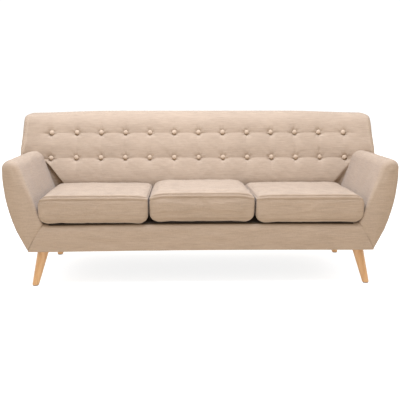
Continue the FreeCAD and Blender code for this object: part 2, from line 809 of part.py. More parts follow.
def make_back():
    """The tufted padding with its buttons, the twine that pulls them in, and the outside panels."""
    blank = back_blank()
    doc.recompute()
    twine_radius = 0.9
    twine_room = twine_radius + 0.4
    toggle_radius = 2.6
    toggle_half = 11
    rearward = FreeCAD.Vector(0, 1, 0)
    lean = math.radians(value("back_lean"))
    pad_rear_y, pad_rear_z = [value(expression) for expression in leaning("back_pad_rear", "0")]
    up_lean = FreeCAD.Vector(0, math.sin(lean), math.cos(lean))
    buttons = []
    twines = []
    toggles = []
    rooms = []
    for x, level, facing in button_places():
        spot = front_surface(blank.Shape, x, level)
        seat = spot - facing * value("button_sunk")
        turn = FreeCAD.Placement(seat, FreeCAD.Rotation(UP, facing))
        button = button_shape()
        button.Placement = turn
        buttons.append(button)
        rooms.append(Part.makeCylinder(value("button_radius") + 0.6, 60, seat, facing))
        rear_y = pad_rear_y + math.tan(lean) * (level - pad_rear_z)
        twine_start = seat + rearward * 0.4
        twines.append(Part.makeCylinder(twine_radius, rear_y - twine_start.y - 0.2, twine_start, rearward))
        rooms.append(Part.makeCylinder(twine_room, rear_y - seat.y + 20, seat, rearward))
        toggle_middle = FreeCAD.Vector(x, rear_y + toggle_radius + 0.3, level)
        toggles.append(Part.makeCylinder(toggle_radius, 2 * toggle_half,
                                         toggle_middle - up_lean * toggle_half, up_lean))
    room = solid_from("Button_rooms", Part.makeCompound(rooms))
    keep(cut("Back_padding", blank, room), "back_padding")
    keep(solid_from("Back_buttons_low", Part.makeCompound(buttons[:13])), "back_buttons_lower")
    keep(solid_from("Back_buttons_high", Part.makeCompound(buttons[13:])), "back_buttons_upper")
    keep(solid_from("Button_twines", Part.makeCompound(twines)), "button_twines")
    keep(solid_from("Twine_toggles", Part.makeCompound(toggles)), "twine_toggles")


def make_back_panels():
    """The flat outside back, and the curved panels that close the base's sides behind the arms."""
    low_half = "foot_half_width - 2"
    outline = [("-(%s)" % low_half, "panel_low"), (low_half, "panel_low"),
               ("back_frame_half", "panel_shoulder"), ("back_frame_half", "back_frame_high - 1"),
               ("-back_frame_half", "back_frame_high - 1"), ("-back_frame_half", "panel_shoulder")]
    panel = padded_outline("Back_outside", "XY_Plane", "0", outline, "panel_thick")
    panel.Placement = FreeCAD.Placement(FreeCAD.Vector(0, 0, 0),
                                        FreeCAD.Rotation(X_AXIS, 90 - value("back_lean")))
    bind(panel, {"Placement.Base.y": "back_foot", "Placement.Base.z": "underside"})
    keep(panel, "back_outside_panel")

    thick = "side_panel_thick"
    rear = "back_foot - 7"
    radius = swell_radius("half_width", "foot_half_width")
    band = [
        (swell_at("half_width", "foot_half_width", "underside"), "underside", radius, 1),
        (swell_at("half_width", "foot_half_width", "border_high"), "border_high"),
        (swell_at("half_width", "foot_half_width", "border_high", thick), "border_high",
         "%s - %s" % (radius, thick), -1),
        (swell_at("half_width", "foot_half_width", "underside", thick), "underside"),
    ]
    pair("rear_side_panel", padded_outline("Rear_side_panel", "XZ_Plane", "-(%s)" % rear, band,
                                           "%s - arm_rear - 1" % rear))


# ---------------------------------------------------------------- seat cushions

def cushion_block(name, left, right, inset):
    """A box cushion with rounded sides, drawn from the front and padded from rear to front."""
    low_radius = "cushion_low_radius - (%s)" % inset
    top_radius = "cushion_top_radius - (%s)" % inset
    west = "(%s) + (%s)" % (left, inset)
    east = "(%s) - (%s)" % (right, inset)
    low = "seat_high + (%s)" % inset
    high = "cushion_high - (%s)" % inset
    corners = [
        ("%s + %s" % (west, low_radius), low),
        ("%s - (%s)" % (east, low_radius), low, low_radius, 1),
        (east, "%s + %s" % (low, low_radius)),
        (east, "%s - (%s)" % (high, top_radius), top_radius, 1),
        ("%s - (%s)" % (east, top_radius), high),
        ("%s + %s" % (west, top_radius), high, top_radius, 1),
        (west, "%s - (%s)" % (high, top_radius)),
        (west, "%s + %s" % (low, low_radius), low_radius, 1),
    ]
    rear = "cushion_rear - (%s)" % inset
    block = padded_outline(name, "XZ_Plane", "-(%s)" % rear, corners,
                           "cushion_rear + half_depth - 2 * (%s)" % inset)
    ends = (value(rear), -value("half_depth - (%s)" % inset))
    round_edges(block, name + "_rounding", "cushion_edge_radius - (%s)" % inset,
                lambda edge: lies_at(edge, "y", ends[0]) or lies_at(edge, "y", ends[1]))
    return block


def make_cushion(place, left, right):
    """One loose seat cushion: a padded cover round a foam core, closed by a zip along its rear."""
    cover_blank = cushion_block("Cover_" + place, left, right, "0")
    room = cushion_block("Core_room_" + place, left, right, "cushion_wadding")
    hollow = cut("Hollow_cover_" + place, cover_blank, room)
    middle = "((%s) + (%s)) / 2" % (left, right)
    zip_left = "%s - zip_half" % middle
    groove = board("Zip_groove_" + place, (zip_left, "cushion_rear - zip_deep", "zip_low"),
                   ("%s + zip_half" % middle, "cushion_rear + 1", "zip_high"))
    keep(cut("Cushion_cover_" + place, hollow, groove), "cushion_cover_" + place)
    keep(cushion_block("Cushion_core_" + place, left, right, "cushion_wadding + 0.5"),
         "cushion_foam_" + place)
    tape_near = "cushion_rear - zip_deep + 0.1"
    tape_far = tape_near + " + 1.5"
    keep(board("Zip_tape_" + place, (zip_left + " + 1", tape_near, "zip_low + 1"),
               ("%s + zip_half - 1" % middle, tape_far, "zip_high - 1")), "zip_tape_" + place)
    keep(board("Zip_slider_" + place, (zip_left + " + 4", tape_far + " + 0.2", "zip_low + 3"),
               (zip_left + " + 16", "cushion_rear + 1", "zip_high - 3")), "zip_slider_" + place)


def make_cushions():
    """The three cushions, side by side."""
    half = "cushion_middle_half"
    make_cushion("left", "-cushion_outer_edge", "-%s - cushion_gap" % half)
    make_cushion("centre", "-" + half, half)
    make_cushion("right", "%s + cushion_gap" % half, "cushion_outer_edge")


# ---------------------------------------------------------------- build and write

def check_and_write():
    """Stops on any broken piece, then writes one STEP file for each node."""
    for thing in doc.Objects:
        bad = [state for state in thing.State if state in ("Invalid", "Error")]
        if bad:
            raise RuntimeError("%s is %s" % (thing.Label, bad))
    for node in nodes:
        if node.Shape.isNull() or not node.Shape.isValid() or not node.Shape.Solids:
            raise RuntimeError(node.Label + " has no valid solid")
    os.makedirs("parts", exist_ok=True)
    for node in nodes:
        node.Shape.exportStep(os.path.join("parts", node.Label + ".step"))
    print("%d nodes written" % len(nodes))


make_base_frame()
make_front_border()
make_deck_and_dust_cover()
make_springs()
make_leg("front")
make_leg("rear")
make_leg_fixings()
make_arms()
make_back_frame()
make_back()
make_back_panels()
make_cushions()
doc.recompute()
check_and_write()
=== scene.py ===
import json
import math

import bmesh
import bpy
import numpy as np
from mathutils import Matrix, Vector
from mathutils.bvhtree import BVHTree


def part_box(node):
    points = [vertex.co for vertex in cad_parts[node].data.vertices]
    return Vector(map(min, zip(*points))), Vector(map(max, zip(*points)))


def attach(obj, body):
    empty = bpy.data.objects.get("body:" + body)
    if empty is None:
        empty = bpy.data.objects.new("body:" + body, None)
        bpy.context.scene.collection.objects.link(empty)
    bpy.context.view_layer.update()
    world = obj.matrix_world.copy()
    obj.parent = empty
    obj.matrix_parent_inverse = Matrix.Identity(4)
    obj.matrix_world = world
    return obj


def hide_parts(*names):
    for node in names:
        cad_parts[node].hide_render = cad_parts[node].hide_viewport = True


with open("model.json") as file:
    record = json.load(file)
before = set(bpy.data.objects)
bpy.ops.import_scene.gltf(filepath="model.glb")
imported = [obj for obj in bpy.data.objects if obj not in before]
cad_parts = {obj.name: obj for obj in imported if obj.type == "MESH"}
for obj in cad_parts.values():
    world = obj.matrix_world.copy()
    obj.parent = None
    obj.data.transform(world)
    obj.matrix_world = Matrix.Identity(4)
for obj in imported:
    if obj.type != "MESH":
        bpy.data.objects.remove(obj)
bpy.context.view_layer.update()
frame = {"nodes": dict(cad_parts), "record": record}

MM = 0.001

# ---------------------------------------------------------------- sizes from the frame

BACK_LOW, BACK_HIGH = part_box("back_padding")
ARM_LOW, ARM_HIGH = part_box("arm_padding_right")
BORDER_LOW, BORDER_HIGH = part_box("front_border")
PANEL_LOW, PANEL_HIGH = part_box("back_outside_panel")
BUTTON_LOW, BUTTON_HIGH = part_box("back_buttons_lower")
TOP_BUTTON_LOW, TOP_BUTTON_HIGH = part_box("back_buttons_upper")
DECK_LOW, DECK_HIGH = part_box("seat_deck")

UNDERSIDE = BORDER_LOW.z
SEAT_FRAME_TOP = BORDER_HIGH.z
FRONT = BORDER_LOW.y
HALF_WIDTH = ARM_HIGH.x
BUTTONS_IN_ROW = 13
BUTTON_RADIUS = 0.0135
BUTTON_PITCH = (BUTTON_HIGH.x - BUTTON_LOW.x - 2 * BUTTON_RADIUS) / (BUTTONS_IN_ROW - 1)
BUTTON_ROWS = ((BUTTON_LOW.z + BUTTON_HIGH.z) / 2 - MM, (TOP_BUTTON_LOW.z + TOP_BUTTON_HIGH.z) / 2 - MM)


# ---------------------------------------------------------------- small helpers

def smooth(t):
    """0 to 1 with soft ends."""
    t = np.clip(t, 0, 1)
    return t * t * (3 - 2 * t)


def mound(distance, width):
    """1 at the middle, falling off softly over about `width`."""
    return np.exp(-(distance / width) ** 2)


def arc_points(centre, radius, start, end, count):
    """Points on an arc between two angles in degrees."""
    turn = np.radians(np.linspace(start, end, count))
    return np.stack([centre[0] + radius * np.cos(turn), centre[1] + radius * np.sin(turn)], axis=1)


def resample(points, count):
    """The same line with evenly spaced points."""
    steps = np.linalg.norm(np.diff(points, axis=0), axis=1)
    reach = np.concatenate([[0], np.cumsum(steps)])
    wanted = np.linspace(0, reach[-1], count)
    return np.stack([np.interp(wanted, reach, points[:, axis]) for axis in range(points.shape[1])], axis=1)


def show(made):
    """Puts an object in the scene."""
    bpy.context.scene.collection.objects.link(made)
    return made


def adjust(target, **settings):
    """Changes several settings of one thing."""
    for name, setting in settings.items():
        setattr(target, name, setting)


def shade_smooth(mesh):
    """Smooth shading on every face."""
    mesh.polygons.foreach_set("use_smooth", [True] * len(mesh.polygons))
    mesh.update()


def new_object(name, points, faces):
    """A smooth-shaded mesh object from points and faces."""
    mesh = bpy.data.meshes.new(name)
    mesh.from_pydata([tuple(map(float, p)) for p in points], [], faces)
    shade_smooth(mesh)
    return show(bpy.data.objects.new(name, mesh))


def grid(name, points, columns):
    """A sheet over rows of points, given one row after the other."""
    rows = len(points) // columns
    faces = [(row * columns + column, row * columns + column + 1,
              (row + 1) * columns + column + 1, (row + 1) * columns + column)
             for row in range(rows - 1) for column in range(columns - 1)]
    return new_object(name, points, faces)


def weld(made, distance=0.00005):
    """Joins points that fall on each other and turns every face outwards."""
    work = bmesh.new()
    work.from_mesh(made.data)
    bmesh.ops.remove_doubles(work, verts=work.verts, dist=distance)
    bmesh.ops.dissolve_degenerate(work, edges=work.edges, dist=distance)
    bmesh.ops.recalc_face_normals(work, faces=work.faces)
    work.to_mesh(made.data)
    work.free()
    shade_smooth(made.data)
    return made


def tube(name, rings):
    """A skin over rings of points, each ring closed on itself."""
    rings = np.asarray(rings, float)
    count, around = rings.shape[:2]
    faces = []
    for ring in range(count - 1):
        for step in range(around):
            following = (step + 1) % around
            faces.append((ring * around + step, ring * around + following,
                          (ring + 1) * around + following, (ring + 1) * around + step))
    return new_object(name, rings.reshape(-1, 3), faces)


def close_ends(made):
    """Fills a tube's two open ends."""
    work = bmesh.new()
    work.from_mesh(made.data)
    bmesh.ops.holes_fill(work, edges=[e for e in work.edges if e.is_boundary], sides=0)
    bmesh.ops.recalc_face_normals(work, faces=work.faces)
    work.to_mesh(made.data)
    work.free()
    made.data.update()
    return made


def middle_line(section, margin_low, margin_high, count=40):
    """The line half-way between a section's two sides. Its up side and its down side have half of its
    points each."""
    half = len(section) // 2
    up_side, down_side = section[:half], section[half:][::-1]
    heights = np.linspace(section[:, 1].min() + margin_low, section[:, 1].max() - margin_high, count)
    first = np.interp(heights, up_side[:, 1], up_side[:, 0])
    second = np.interp(heights, down_side[:, 1], down_side[:, 0])
    return np.stack([(first + second) / 2, heights], axis=1)


def nearest_on(line, points):
    """The nearest point of a line to each point."""
    start, run = line[:-1], np.diff(line, axis=0)
    offset = points[:, None, :] - start[None]
    share = np.clip((offset * run).sum(2) / (run ** 2).sum(1), 0, 1)
    foot = start[None] + share[:, :, None] * run[None]
    closest = np.linalg.norm(points[:, None, :] - foot, axis=2).argmin(1)
    return foot[np.arange(len(points)), closest]


def cap_rings(ring, spine, outward, radius, crown, rounds=6, fills=8):
    """Rings that close a tube's end: a rounded edge, then a face that swells a little.
    radius may be one number or one for each point."""
    outward = np.asarray(outward, float)
    radius = np.broadcast_to(np.asarray(radius, float), (len(ring),))[:, None]
    gap = spine - ring
    length = np.maximum(np.linalg.norm(gap, axis=1, keepdims=True), 1e-9)
    rings = []
    for step in range(1, rounds + 1):
        turn = math.pi / 2 * step / rounds
        inset = np.minimum(radius * (1 - math.cos(turn)), length * 0.9)
        rings.append(ring + gap / length * inset + outward * radius * math.sin(turn))
    edge = rings[-1]
    centre = spine + outward * radius
    for step in range(1, fills + 1):
        share = step / fills
        rise = crown * (1 - (1 - share) ** 2)
        rings.append(edge + (centre - edge) * share + outward * rise)
    return rings


def evaluated_mesh(made):
    """A new mesh with the piece's modifiers worked in."""
    depsgraph = bpy.context.evaluated_depsgraph_get()
    return bpy.data.meshes.new_from_object(made.evaluated_get(depsgraph))


def modifier(made, kind, **settings):
    """Adds a modifier, sets it up and applies it."""
    adjust(made.modifiers.new(kind, kind), **settings)
    bpy.context.view_layer.update()
    mesh = evaluated_mesh(made)
    old = made.data
    made.modifiers.clear()
    made.data = mesh
    bpy.data.meshes.remove(old)
    shade_smooth(mesh)
    return made


def rows_of(items, attribute):
    """One vector of each of a mesh's items, as the rows of an array."""
    numbers = np.zeros(len(items) * 3)
    items.foreach_get(attribute, numbers)
    return numbers.reshape(-1, 3)


def coords(made):
    """The mesh's points as an array."""
    return rows_of(made.data.vertices, "co")


def normals(made):
    """The mesh's point normals as an array."""
    made.data.update()
    return rows_of(made.data.vertex_normals, "vector")


def set_coords(made, points):
    """Writes an array of points back to the mesh."""
    made.data.vertices.foreach_set("co", np.asarray(points, float).ravel())
    made.data.update()


def ripple(points, size, seed):
    """Smooth uneven noise from -1 to 1, with lumps about `size` metres across."""
    rng = np.random.default_rng(seed)
    total = np.zeros(len(points))
    for _ in range(9):
        direction = rng.normal(size=3)
        direction /= np.linalg.norm(direction)
        wave = 2 * math.pi / size * rng.uniform(0.6, 1.6)
        total += np.sin(points @ direction * wave + rng.uniform(0, 2 * math.pi))
    return total / 4.5


def mirror_copy(made, name):
    """The left-hand twin of a right-hand piece."""
    twin = made.copy()
    twin.data = made.data.copy()
    twin.name = name
    show(twin)
    points = coords(twin)
    points[:, 0] *= -1
    set_coords(twin, points)
    twin.data.flip_normals()
    return twin


def thread_loop(name, path, thick, sides=8):
    """A round thread of constant thickness along a closed, nearly level path."""
    ahead = np.roll(path, -1, axis=0) - np.roll(path, 1, axis=0)
    ahead /= np.linalg.norm(ahead, axis=1, keepdims=True)
    side = np.cross(ahead, (0.0, 0.0, 1.0))
    side /= np.linalg.norm(side, axis=1, keepdims=True)
    over = np.cross(side, ahead)
    turn = np.linspace(0, 2 * math.pi, sides, endpoint=False)[:, None]
    rings = [path[index] + thick / 2 * (np.cos(turn) * side[index] + np.sin(turn) * over[index])
             for index in range(len(path))]
    return tube(name, rings + rings[:1])


# ---------------------------------------------------------------- materials

def link(tree, start, end):
    """Joins an output socket to an input socket."""
    tree.links.new(start, end)


def new_material(name):
    """A new node material, its node tree and its shader."""
    material = bpy.data.materials.new(name)
    material.use_nodes = True
    tree = material.node_tree
    shader = tree.nodes["Principled BSDF"]
    return material, tree, shader


def fill_inputs(node, settings):
    """Sets a node's inputs by their names."""
    for name, setting in settings.items():
        node.inputs[name].default_value = setting


def noise(tree, vector, scale, detail=3.0, roughness=0.55):
    """A noise texture's value."""
    node = tree.nodes.new("ShaderNodeTexNoise")
    fill_inputs(node, {"Scale": scale, "Detail": detail, "Roughness": roughness})
    link(tree, vector, node.inputs["Vector"])
    return node.outputs["Fac"]


def math_node(tree, kind, *values):
    """One arithmetic step on up to three values."""
    node = tree.nodes.new("ShaderNodeMath")
    node.operation = kind
    for socket, given in zip(node.inputs, values):
        if isinstance(given, (int, float)):
            socket.default_value = given
        else:
            link(tree, given, socket)
    return node.outputs[0]


def ramp(tree, value, stops):
    """Colours along a value."""
    node = tree.nodes.new("ShaderNodeValToRGB")
    first, last = node.color_ramp.elements[0], node.color_ramp.elements[1]
    first.position, first.color = stops[0][0], (*stops[0][1], 1)
    last.position, last.color = stops[-1][0], (*stops[-1][1], 1)
    for place, colour in stops[1:-1]:
        node.color_ramp.elements.new(place).color = (*colour, 1)
    link(tree, value, node.inputs["Fac"])
    return node.outputs["Color"]


def weave_height(tree, point, thread):
    """Crossing threads: a wave along each axis, multiplied in pairs, so that every side of a piece shows
    a weave."""
    split = tree.nodes.new("ShaderNodeSeparateXYZ")
    link(tree, point, split.inputs[0])
    waves = []
    for axis in range(3):
        turned = math_node(tree, "MULTIPLY", split.outputs[axis], 2 * math.pi / thread)
        waves.append(math_node(tree, "SINE", turned))
    pairs = [math_node(tree, "MULTIPLY", waves[a], waves[b]) for a, b in ((0, 1), (1, 2), (0, 2))]
    return math_node(tree, "ADD", math_node(tree, "ADD", pairs[0], pairs[1]), pairs[2])


def stretched(tree, point, scales):
    """The same coordinates, squeezed or drawn out along each axis."""
    node = tree.nodes.new("ShaderNodeMapping")
    fill_inputs(node, {"Scale": scales})
    link(tree, point, node.inputs["Vector"])
    return node.outputs[0]


def weighted(tree, *pairs):
    """The sum of several values, each with its own share."""
    total = math_node(tree, "MULTIPLY", pairs[0][0], pairs[0][1])
    for value, share in pairs[1:]:
        total = math_node(tree, "MULTIPLY_ADD", value, share, total)
    return total


def add_relief(tree, shader, height, strength, depth):
    """Lets a height raise and sink the shader's surface."""
    node = tree.nodes.new("ShaderNodeBump")
    fill_inputs(node, {"Strength": strength, "Distance": depth})
    link(tree, height, node.inputs["Height"])
    link(tree, node.outputs[0], shader.inputs["Normal"])


def fabric(name, colour, dark, light, thread=0.0016, bump=0.35):
    """Woven linen-look cloth: crossing threads, slubs that run both ways, soft mottling and a little
    sheen."""
    material, tree, shader = new_material(name)
    point = tree.nodes.new("ShaderNodeTexCoord").outputs["Object"]
    slubs = noise(tree, stretched(tree, point, (0.3, 0.3, 4.5)), 62, 3.0)
    fine_slubs = noise(tree, stretched(tree, point, (0.8, 0.8, 5)), 190, 2.0)
    cross_slubs = noise(tree, stretched(tree, point, (6, 6, 1)), 110, 2.0)
    patches = noise(tree, point, 7, 3.0)
    mixed = weighted(tree, (slubs, 0.40), (fine_slubs, 0.20), (cross_slubs, 0.25), (patches, 0.15))
    link(tree, ramp(tree, mixed, [(0.38, dark), (0.5, colour), (0.62, light)]), shader.inputs["Base Color"])
    fill_inputs(shader, {"Roughness": 0.9, "Specular IOR Level": 0.08,
                         "Sheen Weight": 0.08, "Sheen Roughness": 0.45})
    height = weighted(tree, (weave_height(tree, point, thread), 0.5), (fine_slubs, 1.0), (cross_slubs, 0.8))
    add_relief(tree, shader, height, bump, 0.0008)
    return material


def wood(name, colour, dark, light, along="Z", rough=0.42):
    """Wood with long grain lines and fine pores along one axis."""
    material, tree, shader = new_material(name)
    point = tree.nodes.new("ShaderNodeTexCoord").outputs["Object"]
    grain = stretched(tree, point, {"X": (1, 14, 14), "Z": (14, 14, 1)}[along])
    rings = noise(tree, grain, 4, 4.0)
    pores = noise(tree, grain, 60, 2.0)
    mixed = weighted(tree, (rings, 0.75), (pores, 0.25))
    link(tree, ramp(tree, mixed, [(0.35, dark), (0.5, colour), (0.66, light)]), shader.inputs["Base Color"])
    fill_inputs(shader, {"Roughness": rough, "Coat Weight": 0.15})
    add_relief(tree, shader, mixed, 0.15, 0.0004)
    return material


def metal(name, colour, rough):
    """Plain zinc-coated steel with faint cloudy spangle."""
    material, tree, shader = new_material(name)
    point = tree.nodes.new("ShaderNodeTexCoord").outputs["Object"]
    cloud = noise(tree, point, 120, 2.0)
    darker = tuple(c * 0.8 for c in colour)
    link(tree, ramp(tree, cloud, [(0.35, darker), (0.65, colour)]), shader.inputs["Base Color"])
    fill_inputs(shader, {"Metallic": 0.9, "Roughness": rough})
    return material


def linen(share):
    """The upholstery's sandy beige, darker or lighter by a share."""
    return tuple(channel * share for channel in (0.305, 0.210, 0.133))


UPHOLSTERY = fabric("upholstery_linen", linen(1.0), linen(0.86), linen(1.13))
SEAM = fabric("upholstery_seam", linen(0.97), linen(0.86), linen(1.08), thread=0.0012)
# The buttons are the upholstery linen painted lighter: a painted highlight for the light their raised domes
# catch.
BUTTON_LINEN_PAINTED_HIGHLIGHT = fabric("button_linen_painted_highlight", linen(1.22), linen(1.10), linen(1.34), bump=0.2)
# The deck cloth's dark warm brown is partly its own colour and partly painted shade for the gap under the
# cushions' front edge.
DECK_CLOTH_AND_GAP_SHADE = fabric("deck_cloth", (0.075, 0.046, 0.024), (0.055, 0.033, 0.017), (0.10, 0.064, 0.036))
DUST = fabric("dust_cloth", (0.02, 0.02, 0.022), (0.012, 0.012, 0.014), (0.035, 0.035, 0.038), thread=0.001)
FOAM = fabric("foam", (0.80, 0.74, 0.52), (0.74, 0.68, 0.46), (0.86, 0.80, 0.60), thread=0.0009)
FELT = fabric("felt", (0.12, 0.10, 0.09), (0.08, 0.07, 0.06), (0.16, 0.14, 0.12), thread=0.0009)
JUTE = fabric("jute", (0.42, 0.31, 0.18), (0.33, 0.24, 0.13), (0.52, 0.40, 0.25), thread=0.003, bump=0.6)
ZIP_CLOTH = fabric("zip_cloth", (0.45, 0.33, 0.24), (0.38, 0.28, 0.2), (0.5, 0.38, 0.29), thread=0.001)
LEG_WOOD = wood("leg_wood", (0.47, 0.24, 0.085), (0.38, 0.185, 0.06), (0.55, 0.30, 0.12))
FRAME_WOOD = wood("frame_wood", (0.58, 0.42, 0.24), (0.48, 0.33, 0.17), (0.68, 0.52, 0.33),
                  along="X", rough=0.6)
STEEL = metal("steel", (0.55, 0.55, 0.56), 0.38)

SLOT_MATERIALS = {
    "upholstery": UPHOLSTERY, "leg_wood": LEG_WOOD, "frame_wood": FRAME_WOOD, "steel": STEEL,
    "foam": FOAM, "zip_cloth": ZIP_CLOTH, "zip_metal": STEEL, "dust_cloth": DUST,
    "deck_cloth": DECK_CLOTH_AND_GAP_SHADE, "felt": FELT, "jute": JUTE,
}
NODE_SLOT = {part["node"]: part["material_slot"] for part in frame["record"]["subparts"]}


def dress(made, material, slot, body, *nodes):
    """Gives a piece its material, fixes it to its body and lets it stand for its CAD nodes. The slot is not
    used.
    """
    made.data.materials.clear()
    made.data.materials.append(material)
    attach(made, body)
    if nodes:
        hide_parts(*nodes)
    return made


def dress_cad_nodes():
    """Gives the frame's own solids their materials. None of them is moved or changed."""
    for name, node in frame["nodes"].items():
        node.data.materials.clear()
        node.data.materials.append(SLOT_MATERIALS[NODE_SLOT[name]])


# ---------------------------------------------------------------- arms

ARM_TOP = ARM_HIGH.z
ARM_REAR = ARM_HIGH.y
ARM_TAIL = ARM_REAR + 0.078
ARM_FOOT = 0.828
ARM_SWELL = 0.540
ARM_INNER_LOW = ARM_LOW.x
ARM_LEAN_ANGLE = math.radians(20)
ARM_LEAN = math.tan(ARM_LEAN_ANGLE)
ARM_CROWN_ROUND = 0.049
TOE_ROUND = 0.016
FLARE_FROM = -0.20
FLARE_IN = 0.033
FOOT_FLARE_SHARE = 0.3


def outer_curve(width, foot):
    """The arm's outer curve from the toe to the widest point: its radius and, in degrees, where it starts."""
    rise = ARM_SWELL - UNDERSIDE
    radius = ((width - foot) ** 2 + rise ** 2) / (2 * (width - foot))
    return radius, -math.degrees(math.asin(rise / radius))


def soften_toe(x, z, foot, start):
    """Rounds the outer bottom corner of right-hand points: those beyond a circle that touches both sides."""
    centre_x = foot - TOE_ROUND * math.tan(math.radians(90 + start) / 2)
    centre_z = UNDERSIDE + TOE_ROUND
    away_x, away_z = x - centre_x, z - centre_z
    reach = np.hypot(away_x, away_z)
    turn = np.degrees(np.arctan2(away_z, away_x))
    outside = (turn > -90) & (turn < start) & (reach > TOE_ROUND)
    shrink = np.where(outside, TOE_ROUND / np.maximum(reach, MM), 1)
    return centre_x + away_x * shrink, centre_z + away_z * shrink


def leaf(width, foot, top, count):
    """An arm's leaf-shaped section in x and z: up the outer curve to the crown, then down the inner face.
    Point i and point -1-i face each other across the leaf."""
    radius, start = outer_curve(width, foot)
    outer = arc_points((width - radius, ARM_SWELL), radius, start, 0, 60)
    tangent_z = top - ARM_CROWN_ROUND * (1 - math.sin(ARM_LEAN_ANGLE))
    tangent_x = ARM_INNER_LOW + ARM_LEAN * (tangent_z - SEAT_FRAME_TOP)
    inner_centre = (tangent_x + ARM_CROWN_ROUND * math.cos(ARM_LEAN_ANGLE), top - ARM_CROWN_ROUND)
    corner = min(top - ARM_SWELL, width - inner_centre[0])
    outer_corner = arc_points((width - corner, top - corner), corner, 0, 90, 20)
    inner_corner = arc_points(inner_centre, ARM_CROWN_ROUND, 90, 180 - math.degrees(ARM_LEAN_ANGLE), 16)
    inner_foot = (ARM_INNER_LOW, SEAT_FRAME_TOP)
    toe = (foot - 2 * MM, UNDERSIDE + 2 * MM)
    crown = ((outer_corner[-1, 0] + inner_corner[0, 0]) / 2, top)
    up_side = resample(np.concatenate([outer, outer_corner[1:], [crown]]), count // 2)
    down_line = np.concatenate([[crown], inner_corner, [inner_foot, toe]])
    down_side = resample(down_line, count // 2 + 1)[1:]
    section = np.concatenate([up_side, down_side])
    return np.stack(soften_toe(section[:, 0], section[:, 1], foot, start), axis=1)


def arm_width(y):
    """How far out the arm swells at a place along its length: it draws in towards the front."""
    run = np.clip((FLARE_FROM - y) / (FLARE_FROM - FRONT), 0, 1)
    return HALF_WIDTH - FLARE_IN * run ** 1.6


def arm_foot(width):
    """How far out the arm's toe stands where the arm is `width` wide."""
    return ARM_FOOT - FOOT_FLARE_SHARE * (HALF_WIDTH - width)


def make_arm():
    """The right arm: padded tube, rounded front facing and a tail that runs into the back, in one skin."""
    around = 200
    edge, seat_side_edge, toe_edge, rear_edge = 0.030, 0.014, 0.003, 0.010
    spine_margin = 0.055
    tail_inset = 0.014
    facing_crown = 0.004
    stations = np.concatenate([np.linspace(ARM_TAIL - rear_edge, -0.25, 46),
                               np.linspace(-0.256, FRONT + edge, 24)])
    rings = []
    for y in stations:
        width = arm_width(y) - tail_inset * smooth((y - ARM_REAR) / 0.02)
        section = leaf(width, arm_foot(width), ARM_TOP, around)
        rings.append(np.stack([section[:, 0], np.full(around, y), section[:, 1]], axis=1))

    def spine(ring):
        flat = ring[:, (0, 2)]
        foot = nearest_on(middle_line(flat, spine_margin, spine_margin), flat)
        return np.stack([foot[:, 0], ring[:, 1], foot[:, 1]], axis=1)

    last = rings[-1]
    inner_side = np.arange(around) > around // 2
    on_toe = (last[:, 2] < SEAT_FRAME_TOP) & inner_side
    beside_seat = seat_side_edge + (edge - seat_side_edge) * smooth((last[:, 2] - 0.44) / 0.10)
    soft_edge = np.where(on_toe, toe_edge, np.where(inner_side, beside_seat, edge))
    blend = 13
    soft_edge = np.convolve(np.pad(soft_edge, blend // 2, mode="edge"), np.ones(blend) / blend, mode="valid")
    last[:, 1] -= edge - soft_edge
    front = cap_rings(last, spine(last), (0, -1, 0), soft_edge, facing_crown, rounds=8, fills=14)
    rear = cap_rings(rings[0], spine(rings[0]), (0, 1, 0), rear_edge, 0.0, rounds=4, fills=8)
    made = weld(tube("arm_right", rear[::-1] + rings + front))
    modifier(made, "REMESH", mode="VOXEL", voxel_size=0.0035)
    modifier(made, "SMOOTH", factor=0.5, iterations=4)
    points = coords(made)
    bumps = 0.0012 * ripple(points, 0.16, 3) + 0.0005 * ripple(points, 0.05, 4)
    points += normals(made) * bumps[:, None]
    set_coords(made, points)
    return made


# ---------------------------------------------------------------- back

BACK_STRAIGHT = 0.690
BACK_FOOT = 0.320
BACK_TILT = math.radians(6.71)
BACK_SLOPE = math.tan(BACK_TILT)
HEIGHT, HALF, STRAIGHT_FRONT, WING_FRONT, WING_ROUND = range(5)
# height, half width, front of the straight stretch, front of the wings, rounding of the wings' edge
BACK_LEVELS = np.array([
    (BACK_LOW.z, 0.902, 0.134, 0.088, 0.004),
    (0.445, 0.942, 0.136, 0.088, 0.004),
    (0.562, 0.949, 0.186, 0.089, 0.008),
    (0.602, 0.949, 0.203, 0.094, 0.018),
    (0.640, 0.949, 0.218, 0.110, 0.026),
    (0.696, 0.947, 0.238, 0.135, 0.028),
    (0.750, 0.945, 0.266, 0.160, 0.028),
    (BACK_HIGH.z, 0.943, 0.310, 0.190, 0.026),
])


def level(height, size):
    """One of the back's sizes at a height, smoothed between the levels."""
    reach = 0.03
    spread = np.linspace(-reach, reach, 13)
    weight = np.exp(-(spread / 0.014) ** 2)
    near = np.asarray(height)[..., None] + spread
    return np.interp(near, BACK_LEVELS[:, HEIGHT], BACK_LEVELS[:, size]) @ weight / weight.sum()


def back_rear(height):
    """The flat outside of the back at a height."""
    return BACK_FOOT + BACK_SLOPE * (height - UNDERSIDE)


def curve_between(start, start_pull, end, end_pull, count):
    """A smooth curve that leaves one point and reaches another along the two given pulls (cubic Hermite)."""
    t = np.linspace(0, 1, count)[1:, None]
    return ((2 * t ** 3 - 3 * t ** 2 + 1) * start + (t ** 3 - 2 * t ** 2 + t) * start_pull
            + (3 * t ** 2 - 2 * t ** 3) * end + (t ** 3 - t ** 2) * end_pull)


